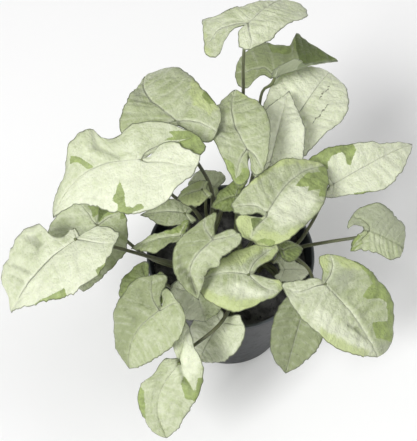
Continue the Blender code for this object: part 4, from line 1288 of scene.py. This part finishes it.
def end_tree(graph, geometry, material):
    """Finish a geometry tree: no instances are left, and the result has its material."""
    geometry = graph.node("GeometryNodeRealizeInstances", {}, {"Geometry": geometry})
    geometry = graph.node("GeometryNodeSetMaterial", {}, {"Geometry": geometry, "Material": material})
    output = graph.tree.nodes.new("NodeGroupOutput")
    graph.feed(output.inputs[0], geometry)
    return graph.tree


def add_tree(guide, tree, values):
    """Put a geometry tree on an object, with its inputs set by their identifiers."""
    modifier = guide.modifiers.new(tree.name, "NODES")
    modifier.node_group = tree
    for item in tree.interface.items_tree:
        if item.in_out == "INPUT" and item.name in values:
            modifier[item.identifier] = values[item.name]


def stalk_tree():
    """Tubes along curves, with a groove along one side and names for their length and turn."""
    graph, given = geometry_tree("grooved stalks", {
        "Sides": "NodeSocketInt", "Groove": "NodeSocketFloat", "Material": "NodeSocketMaterial"})
    ring = graph.node("GeometryNodeCurvePrimitiveCircle", {}, {"Resolution": given["Sides"], 4: 1.0})
    turn = graph.node("GeometryNodeSplineParameter")
    ring = graph.node("GeometryNodeStoreNamedAttribute", {"data_type": "FLOAT"},
                      {"Geometry": ring, "Name": "round", "Value": turn})
    place = graph.node("GeometryNodeInputPosition")
    height = graph.node("ShaderNodeSeparateXYZ", {}, {0: place}, output=1)
    dent = height.step(0.55, 1.0) * given["Groove"]
    offset = graph.node("ShaderNodeCombineXYZ", {}, {1: 0 - dent})
    ring = graph.node("GeometryNodeSetPosition", {}, {"Geometry": ring, "Offset": offset})
    along = graph.node("GeometryNodeSplineParameter")
    route = graph.node("GeometryNodeStoreNamedAttribute", {"data_type": "FLOAT"},
                       {"Geometry": given["Geometry"], "Name": "along", "Value": along})
    radius = graph.node("GeometryNodeInputRadius")
    tubes = graph.node("GeometryNodeCurveToMesh", {},
                       {"Curve": route, "Profile Curve": ring, "Scale": radius, "Fill Caps": True})
    tubes = graph.node("GeometryNodeSetShadeSmooth", {}, {"Geometry": tubes})
    return end_tree(graph, tubes, given["Material"])


STALK_POINTS = 36
STEM_POINTS = 24
# A stem's top as a share of its foot, and its swollen rings: how far apart, how far the first
# is shifted, how wide, how thick
STEM_TAPER = 0.7
STEM_TOP = 0.55
NODE_SPACING = 9.0
NODE_SHIFT = 3
NODE_WIDTH = 1.1
NODE_SWELL = 0.16
# How far under the blade's middle a stalk's last two points lie, and how far back along the
# blade its last stretch starts
STALK_TURN = 1.0
STALK_END = 0.2
STALK_LEAD = 4
# The share of a stalk that its sheath takes, and the collar under the blade: strength, place
# and width
SHEATH_SHARE = 0.35
COLLAR = (0.22, 0.95, 0.035)


def stalk_route(leaf_name):
    """A leaf stalk's route, from inside its stem to the underside of its blade."""
    stem_name, share, passes, last_stretch = STALKS[leaf_name]
    foot, top = (np.array(end, float) for end in STEMS[stem_name][:2])
    root = foot + share * (top - foot)
    blade = Blade(LEAVES[leaf_name])
    base, square = blade.under_base()
    turn = base - square * STALK_TURN
    below = turn - square * last_stretch - blade.along * STALK_LEAD
    end = base - square * STALK_END
    return smooth_curve([root, *passes, below, turn, end], STALK_POINTS)


def stem_radii(radius, share, length):
    """A stem's radii, thinner towards its rounded top, with a slight ring at each leaf node."""
    past_node = (length + NODE_SHIFT) % NODE_SPACING
    rings = np.exp(-((past_node - NODE_SPACING / 2) / NODE_WIDTH) ** 2)
    taper = 1 - (1 - STEM_TAPER) * share
    radii = radius * MM * taper * (1 + NODE_SWELL * (rings - 0.5))
    radii[-1] *= STEM_TOP
    return radii


def stalk_radii(share, settings):
    """A stalk's radii, with its sheath at the foot and its collar under the blade."""
    swell, place, width = COLLAR
    radii = settings.root_radius + (settings.tip_radius - settings.root_radius) * share
    radii = radii * (1 + settings.sheath * np.clip(1 - share / SHEATH_SHARE, 0, 1) ** 0.7)
    return radii * (1 + swell * np.exp(-(((share - place) / width) ** 2)))


def add_route(curve, route, radii):
    """Add a line of points in millimetres, with radii in metres, to a curve."""
    spline = curve.splines.new("POLY")
    spline.points.add(len(route) - 1)
    for point, place, radius in zip(spline.points, route, radii):
        point.co = (*(place * MM), 1.0)
        point.radius = radius


def make_stems(settings):
    """The stems, each one piece with its leaf stalks."""
    tree = stalk_tree()
    material = stalk_finish(settings)
    for name, (foot, top, radius) in STEMS.items():
        curve = bpy.data.curves.new(name, "CURVE")
        curve.dimensions = "3D"
        share = np.linspace(0, 1, STEM_POINTS)
        foot, top = np.array(foot, float), np.array(top, float)
        route = foot + np.multiply.outer(share, top - foot)
        add_route(curve, route, stem_radii(radius, share, share * np.linalg.norm(top - foot)))
        for leaf_name, (stem_name, *_) in STALKS.items():
            if stem_name == name:
                route, lengths = stalk_route(leaf_name)
                add_route(curve, route, stalk_radii(lengths / lengths[-1], settings))
        guide = add_object(name, curve)
        add_tree(guide, tree, {"Sides": settings.sides, "Groove": settings.groove,
                               "Material": material})
        add_piece(f"{name}_stalks", evaluated_mesh(guide, name), "stalk", name)


MERGED_WITHIN = 0.00002


def turned_mesh(name, profile, steps, material):
    """A turned body from a profile of (radius, height) in metres, run down its outer side."""
    mesh = bpy.data.meshes.new(name)
    mesh.from_pydata([(radius, 0.0, height) for radius, height in profile],
                     [(i, i + 1) for i in range(len(profile) - 1)], [])
    guide = add_object(name, mesh)
    screw = guide.modifiers.new("turn", "SCREW")
    screw.axis = "Z"
    screw.steps = steps
    screw.render_steps = steps
    screw.use_merge_vertices = True
    screw.merge_threshold = MERGED_WITHIN
    screw.use_smooth_shade = True
    mesh = evaluated_mesh(guide, name)
    mesh.materials.clear()
    mesh.materials.append(material)
    return mesh


# The most of a straight stretch that one rounded corner takes up
CORNER_SHARE = 0.45


def rounded(points, radius, steps=4):
    """A profile with its inner corners rounded, each by up to radius."""
    result = [points[0]]
    for before, corner, after in zip(points, points[1:], points[2:]):
        corner = np.array(corner, float)
        back, on = np.array(before, float) - corner, np.array(after, float) - corner
        cut = min(radius, CORNER_SHARE * np.linalg.norm(back), CORNER_SHARE * np.linalg.norm(on))
        start = corner + unit(back) * cut
        end = corner + unit(on) * cut
        for f in np.linspace(0, 1, steps):
            result.append(tuple((1 - f) ** 2 * start + 2 * f * (1 - f) * corner + f**2 * end))
    result.append(points[-1])
    return result


POT_FLOOR = 0.003
POT_BASE_RADIUS = 0.056
RIM_BEAD = 0.001
RIM_LEAN = 0.0003
BEAD_SLOPE = 0.0006
EDGE_ROUNDING = 0.0012
DRAIN_HOLES = 6
DRAIN_HOLE_RADIUS = 0.004
DRAIN_HOLE_RING = 0.038
DRAIN_HOLE_TURN = 0.45
DRAIN_HOLE_SIDES = 28
SHARP_EDGE = math.radians(50)


def wall_radius(height, settings):
    """Outer radius of the pot's tapered wall at a height."""
    wall_top = POT_HIGH[0] - RIM_BEAD
    share = height / (POT_HIGH[2] - settings.rim_height)
    return POT_BASE_RADIUS + (wall_top - POT_BASE_RADIUS) * share


def make_pot(settings):
    """The pot: a turned shell with a bead round its rim and drain holes in its floor."""
    height = POT_HIGH[2]
    rim_radius = POT_HIGH[0]
    bead_foot = height - settings.rim_height
    inner_top = wall_radius(bead_foot, settings) - settings.wall
    profile = rounded([
        (0.0, POT_FLOOR),
        (wall_radius(POT_FLOOR, settings) - settings.wall, POT_FLOOR),
        (inner_top, bead_foot),
        (inner_top + RIM_LEAN, height),
        (rim_radius, height),
        (rim_radius, bead_foot + BEAD_SLOPE),
        (wall_radius(bead_foot - BEAD_SLOPE, settings), bead_foot - BEAD_SLOPE),
        (wall_radius(0.0, settings), 0.0),
        (0.0, 0.0),
    ], EDGE_ROUNDING)
    mesh = turned_mesh("pot", profile, settings.steps, pot_finish(settings))
    pot = add_object("pot_shell", mesh)
    drills = [add_drill(number) for number in range(DRAIN_HOLES)]
    for drill in drills:
        cut = pot.modifiers.new("drain", "BOOLEAN")
        cut.operation = "DIFFERENCE"
        cut.object = drill
    mesh = evaluated_mesh(pot, "pot_shell")
    for drill in drills:
        bpy.data.objects.remove(drill)
    mesh.set_sharp_from_angle(angle=SHARP_EDGE)
    add_piece("pot_shell", mesh, "pot", "pot")


def add_drill(number):
    """A cylinder through the pot's floor where one of its drain holes is cut."""
    mesh = bpy.data.meshes.new("drill")
    drill = bmesh.new()
    bmesh.ops.create_cone(drill, cap_ends=True, segments=DRAIN_HOLE_SIDES, radius1=DRAIN_HOLE_RADIUS,
                          radius2=DRAIN_HOLE_RADIUS, depth=3 * POT_FLOOR)
    drill.to_mesh(mesh)
    drill.free()
    cutter = add_object("drill", mesh)
    turn = 2 * math.pi * (number + DRAIN_HOLE_TURN) / DRAIN_HOLES
    cutter.location = (DRAIN_HOLE_RING * math.cos(turn), DRAIN_HOLE_RING * math.sin(turn),
                       POT_FLOOR / 2)
    return cutter


# The soil's crumbs: how level a face is that carries them, how small the smallest is beside
# the largest, how much they are stretched, least and most, how far they are turned, and how
# lumpy they are
LEVEL = 0.6
SMALLEST_CRUMB = 0.25
CRUMB_STRETCH = ((0.6, 0.6, 0.45), (1.3, 1.2, 0.9))
CRUMB_TURN = (6.28, 6.28, 6.28)
CRUMB_LUMPS = 0.9


def crumb_tree():
    """Lumpy crumbs scattered over the upward faces of a surface, and the surface itself."""
    graph, given = geometry_tree("soil crumbs", {
        "Size": "NodeSocketFloat", "Density": "NodeSocketFloat", "Seed": "NodeSocketInt",
        "Material": "NodeSocketMaterial"})
    normal = graph.node("GeometryNodeInputNormal")
    upward = graph.node("ShaderNodeSeparateXYZ", {}, {0: normal}, output=2)
    is_top = graph.node("FunctionNodeCompare", {"data_type": "FLOAT", "operation": "GREATER_THAN"},
                        {0: upward, 1: LEVEL})
    points = graph.node("GeometryNodeDistributePointsOnFaces", {},
                        {"Mesh": given["Geometry"], "Selection": is_top,
                         "Density": given["Density"], "Seed": given["Seed"]})
    crumb = graph.node("GeometryNodeMeshIcoSphere", {}, {"Radius": 1.0, "Subdivisions": 2})
    share = graph.node("FunctionNodeRandomValue", {"data_type": "FLOAT"},
                       {2: 0.0, 3: 1.0, "Seed": given["Seed"]}, output=1)
    stretch = graph.node("FunctionNodeRandomValue", {"data_type": "FLOAT_VECTOR"},
                         {0: CRUMB_STRETCH[0], 1: CRUMB_STRETCH[1], "Seed": 3})
    size = given["Size"] * (SMALLEST_CRUMB + (1 - SMALLEST_CRUMB) * share ** 4)
    scale = graph.node("ShaderNodeVectorMath", {"operation": "SCALE"}, {0: stretch, 3: size})
    turn = graph.node("FunctionNodeRandomValue", {"data_type": "FLOAT_VECTOR"},
                      {0: (0.0, 0.0, 0.0), 1: CRUMB_TURN, "Seed": 5})
    crumbs = graph.node("GeometryNodeInstanceOnPoints", {},
                        {"Points": points, "Instance": crumb, "Rotation": turn, "Scale": scale})
    crumbs = graph.node("GeometryNodeRealizeInstances", {}, {"Geometry": crumbs})
    place = graph.node("GeometryNodeInputPosition")
    lump = graph.node("ShaderNodeTexNoise", {}, {"Vector": place, "Scale": 700.0, "Detail": 2.0},
                      output=1)
    lump = graph.node("ShaderNodeVectorMath", {"operation": "SUBTRACT"},
                      {0: lump, 1: (0.5, 0.5, 0.5)})
    lump = graph.node("ShaderNodeVectorMath", {"operation": "SCALE"},
                      {0: lump, 3: given["Size"] * CRUMB_LUMPS})
    crumbs = graph.node("GeometryNodeSetPosition", {}, {"Geometry": crumbs, "Offset": lump})
    both = graph.tree.nodes.new("GeometryNodeJoinGeometry")
    graph.feed(both.inputs[0], given["Geometry"])
    graph.feed(both.inputs[0], crumbs)
    return end_tree(graph, Wire(graph, both.outputs[0]), given["Material"])


# How far the soil stays from the wall, how far its edge lies under its top and its middle
# rises, how high and how fine its lumps are and how far under its edge they start, and the
# rings and steps of its mesh
WALL_GAP = 0.0003
SOIL_EDGE_DROP = 0.004
SOIL_CROWN = 0.0022
SOIL_BEVEL = 0.0005
LUMP_HEIGHT = 0.0011
LUMP_SCALE = 90
LUMPS_BELOW_EDGE = 0.0001
SOIL_RINGS = 28
SOIL_STEPS = 96


def make_soil(settings):
    """The soil: a low mound with lumps and crumbs, inside the pot's wall."""
    pot = bpy.context.scene.arrowhead_pot
    floor = SOIL_LOW[2]
    gap = pot.wall + WALL_GAP
    edge = SOIL_HIGH[2] - SOIL_EDGE_DROP
    top_radius = wall_radius(edge, pot) - gap
    profile = [(top_radius * f, edge + SOIL_CROWN * (1 - f**2)) for f in np.linspace(0, 1, SOIL_RINGS)]
    profile += [(wall_radius(height, pot) - gap, height) for height in (edge - SOIL_BEVEL, floor)]
    profile.append((0.0, floor))
    material = soil_finish(settings)
    mesh = turned_mesh("soil", profile, SOIL_STEPS, material)
    for vertex in mesh.vertices:
        if vertex.co.z > edge - LUMPS_BELOW_EDGE:
            vertex.co.z += LUMP_HEIGHT * noise.fractal(vertex.co * LUMP_SCALE, 0.7, 2.0, 3)
    guide = add_object("soil", mesh)
    add_tree(guide, crumb_tree(), {"Size": settings.crumb_size, "Density": settings.density,
                                   "Seed": settings.seed, "Material": material})
    mesh = evaluated_mesh(guide, "soil_crumbs")
    # Crumbs that would reach through the wall are pulled back inside it
    places = np.empty(3 * len(mesh.vertices), np.float32)
    mesh.vertices.foreach_get("co", places)
    places = places.reshape(-1, 3)
    out = np.hypot(places[:, 0], places[:, 1])
    places[:, :2] *= np.minimum(1.0, top_radius / np.maximum(out, top_radius))[:, None]
    mesh.vertices.foreach_set("co", places.ravel())
    add_piece("soil_crumbs", mesh, "soil", "soil")


def make_leaves(settings):
    """The 28 leaf blades, with one finish between them."""
    material = leaf_finish(settings)
    for number, (name, shape) in enumerate(LEAVES.items()):
        mesh = blade_mesh(name, number, shape, settings)
        mesh.materials.append(material)
        add_piece(f"{name}_blade", mesh, "leaf", name)


FLOOR_REACH = 6.0
PLANT_MIDDLE = Vector((0.0, 0.0, 0.15))
SENSOR_WIDTH = 36.0

# The lights: place, size, and share of the key light's strength
LIGHTS = {
    "key": ((-2.0, -2.2, 3.1), 1.5, 1.0),
    "fill": ((2.2, 0.6, 2.6), 2.2, 0.2),
}


def make_stage(settings):
    """Pale floor, soft light and the camera."""
    finish = Finish("pale floor", Roughness=0.8, Specular_IOR_Level=0.1)
    cloud = finish.noise(finish.place(), 3.0, 2.0)
    finish.use(Base_Color=finish.mix(cloud, (0.93, 0.93, 0.93), (0.95, 0.95, 0.95)))
    mesh = bpy.data.meshes.new("floor")
    corners = [(x * FLOOR_REACH, y * FLOOR_REACH, 0) for x, y in ((-1, -1), (1, -1), (1, 1), (-1, 1))]
    mesh.from_pydata(corners, [], [(0, 1, 2, 3)])
    mesh.materials.append(finish.material)
    floor = add_object("floor", mesh)

    world = bpy.data.worlds.new("room")
    bpy.context.scene.world = world
    world.use_nodes = True
    background = world.node_tree.nodes["Background"]
    background.inputs["Color"].default_value = (1.0, 1.0, 1.0, 1.0)
    background.inputs["Strength"].default_value = settings.sky

    for name, (place, size, share) in LIGHTS.items():
        add_light(name, place, size, settings.key * share)

    camera = bpy.data.cameras.new("camera")
    camera.lens = settings.lens
    camera.sensor_width = SENSOR_WIDTH
    camera.clip_start = 0.01
    view = add_object("camera", camera)
    view.location = settings.camera
    view.rotation_euler = Euler((math.pi / 2 - settings.down, 0.0, 0.0))
    bpy.context.scene.camera = view
    bpy.context.scene.view_settings.view_transform = "Standard"


def add_light(name, place, size, power):
    """A soft light that shines at the plant's middle."""
    light = bpy.data.lights.new(name, "AREA")
    light.size = size
    light.energy = power
    lamp = add_object(name, light)
    lamp.location = place
    aim = PLANT_MIDDLE - Vector(place)
    lamp.rotation_euler = aim.to_track_quat("-Z", "Y").to_euler()


class PLANT_OT_leaves(bpy.types.Operator):
    """Make the leaf blades with their veins, ruffles and patches"""
    bl_idname = "plant.leaves"
    bl_label = "Leaves"

    def execute(self, context):
        make_leaves(context.scene.arrowhead_leaves)
        return {"FINISHED"}


class PLANT_OT_stems(bpy.types.Operator):
    """Make the short stems with their leaf stalks"""
    bl_idname = "plant.stems"
    bl_label = "Stems and stalks"

    def execute(self, context):
        make_stems(context.scene.arrowhead_stalks)
        return {"FINISHED"}


class PLANT_OT_pot(bpy.types.Operator):
    """Make the nursery pot"""
    bl_idname = "plant.pot"
    bl_label = "Pot"

    def execute(self, context):
        make_pot(context.scene.arrowhead_pot)
        return {"FINISHED"}


class PLANT_OT_soil(bpy.types.Operator):
    """Make the crumbly soil"""
    bl_idname = "plant.soil"
    bl_label = "Soil"

    def execute(self, context):
        make_soil(context.scene.arrowhead_soil)
        return {"FINISHED"}


class PLANT_OT_stage(bpy.types.Operator):
    """Set the floor, the lights and the camera"""
    bl_idname = "plant.stage"
    bl_label = "Stage"

    def execute(self, context):
        make_stage(context.scene.arrowhead_stage)
        return {"FINISHED"}


GROUPS = {
    "arrowhead_stage": (StageSettings, PLANT_OT_stage),
    "arrowhead_pot": (PotSettings, PLANT_OT_pot),
    "arrowhead_soil": (SoilSettings, PLANT_OT_soil),
    "arrowhead_stalks": (StalkSettings, PLANT_OT_stems),
    "arrowhead_leaves": (LeafSettings, PLANT_OT_leaves),
}


class PLANT_PT_panel(bpy.types.Panel):
    bl_label = "Arrowhead plant"
    bl_space_type = "VIEW_3D"
    bl_region_type = "UI"
    bl_category = "Plant"

    def draw(self, context):
        for key, (group, operator) in GROUPS.items():
            box = self.layout.box()
            for name in group.__annotations__:
                box.prop(getattr(context.scene, key), name)
            box.operator(operator.bl_idname)


def register():
    for key, (group, operator) in GROUPS.items():
        bpy.utils.register_class(group)
        bpy.utils.register_class(operator)
        setattr(bpy.types.Scene, key, PointerProperty(type=group))
    bpy.utils.register_class(PLANT_PT_panel)


def unregister():
    bpy.utils.unregister_class(PLANT_PT_panel)
    for key, (group, operator) in reversed(list(GROUPS.items())):
        delattr(bpy.types.Scene, key)
        bpy.utils.unregister_class(operator)
        bpy.utils.unregister_class(group)


def main():
    register()
    bpy.ops.plant.stage()
    bpy.ops.plant.pot()
    bpy.ops.plant.soil()
    bpy.ops.plant.stems()
    bpy.ops.plant.leaves()


if __name__ == "__main__":
    main()
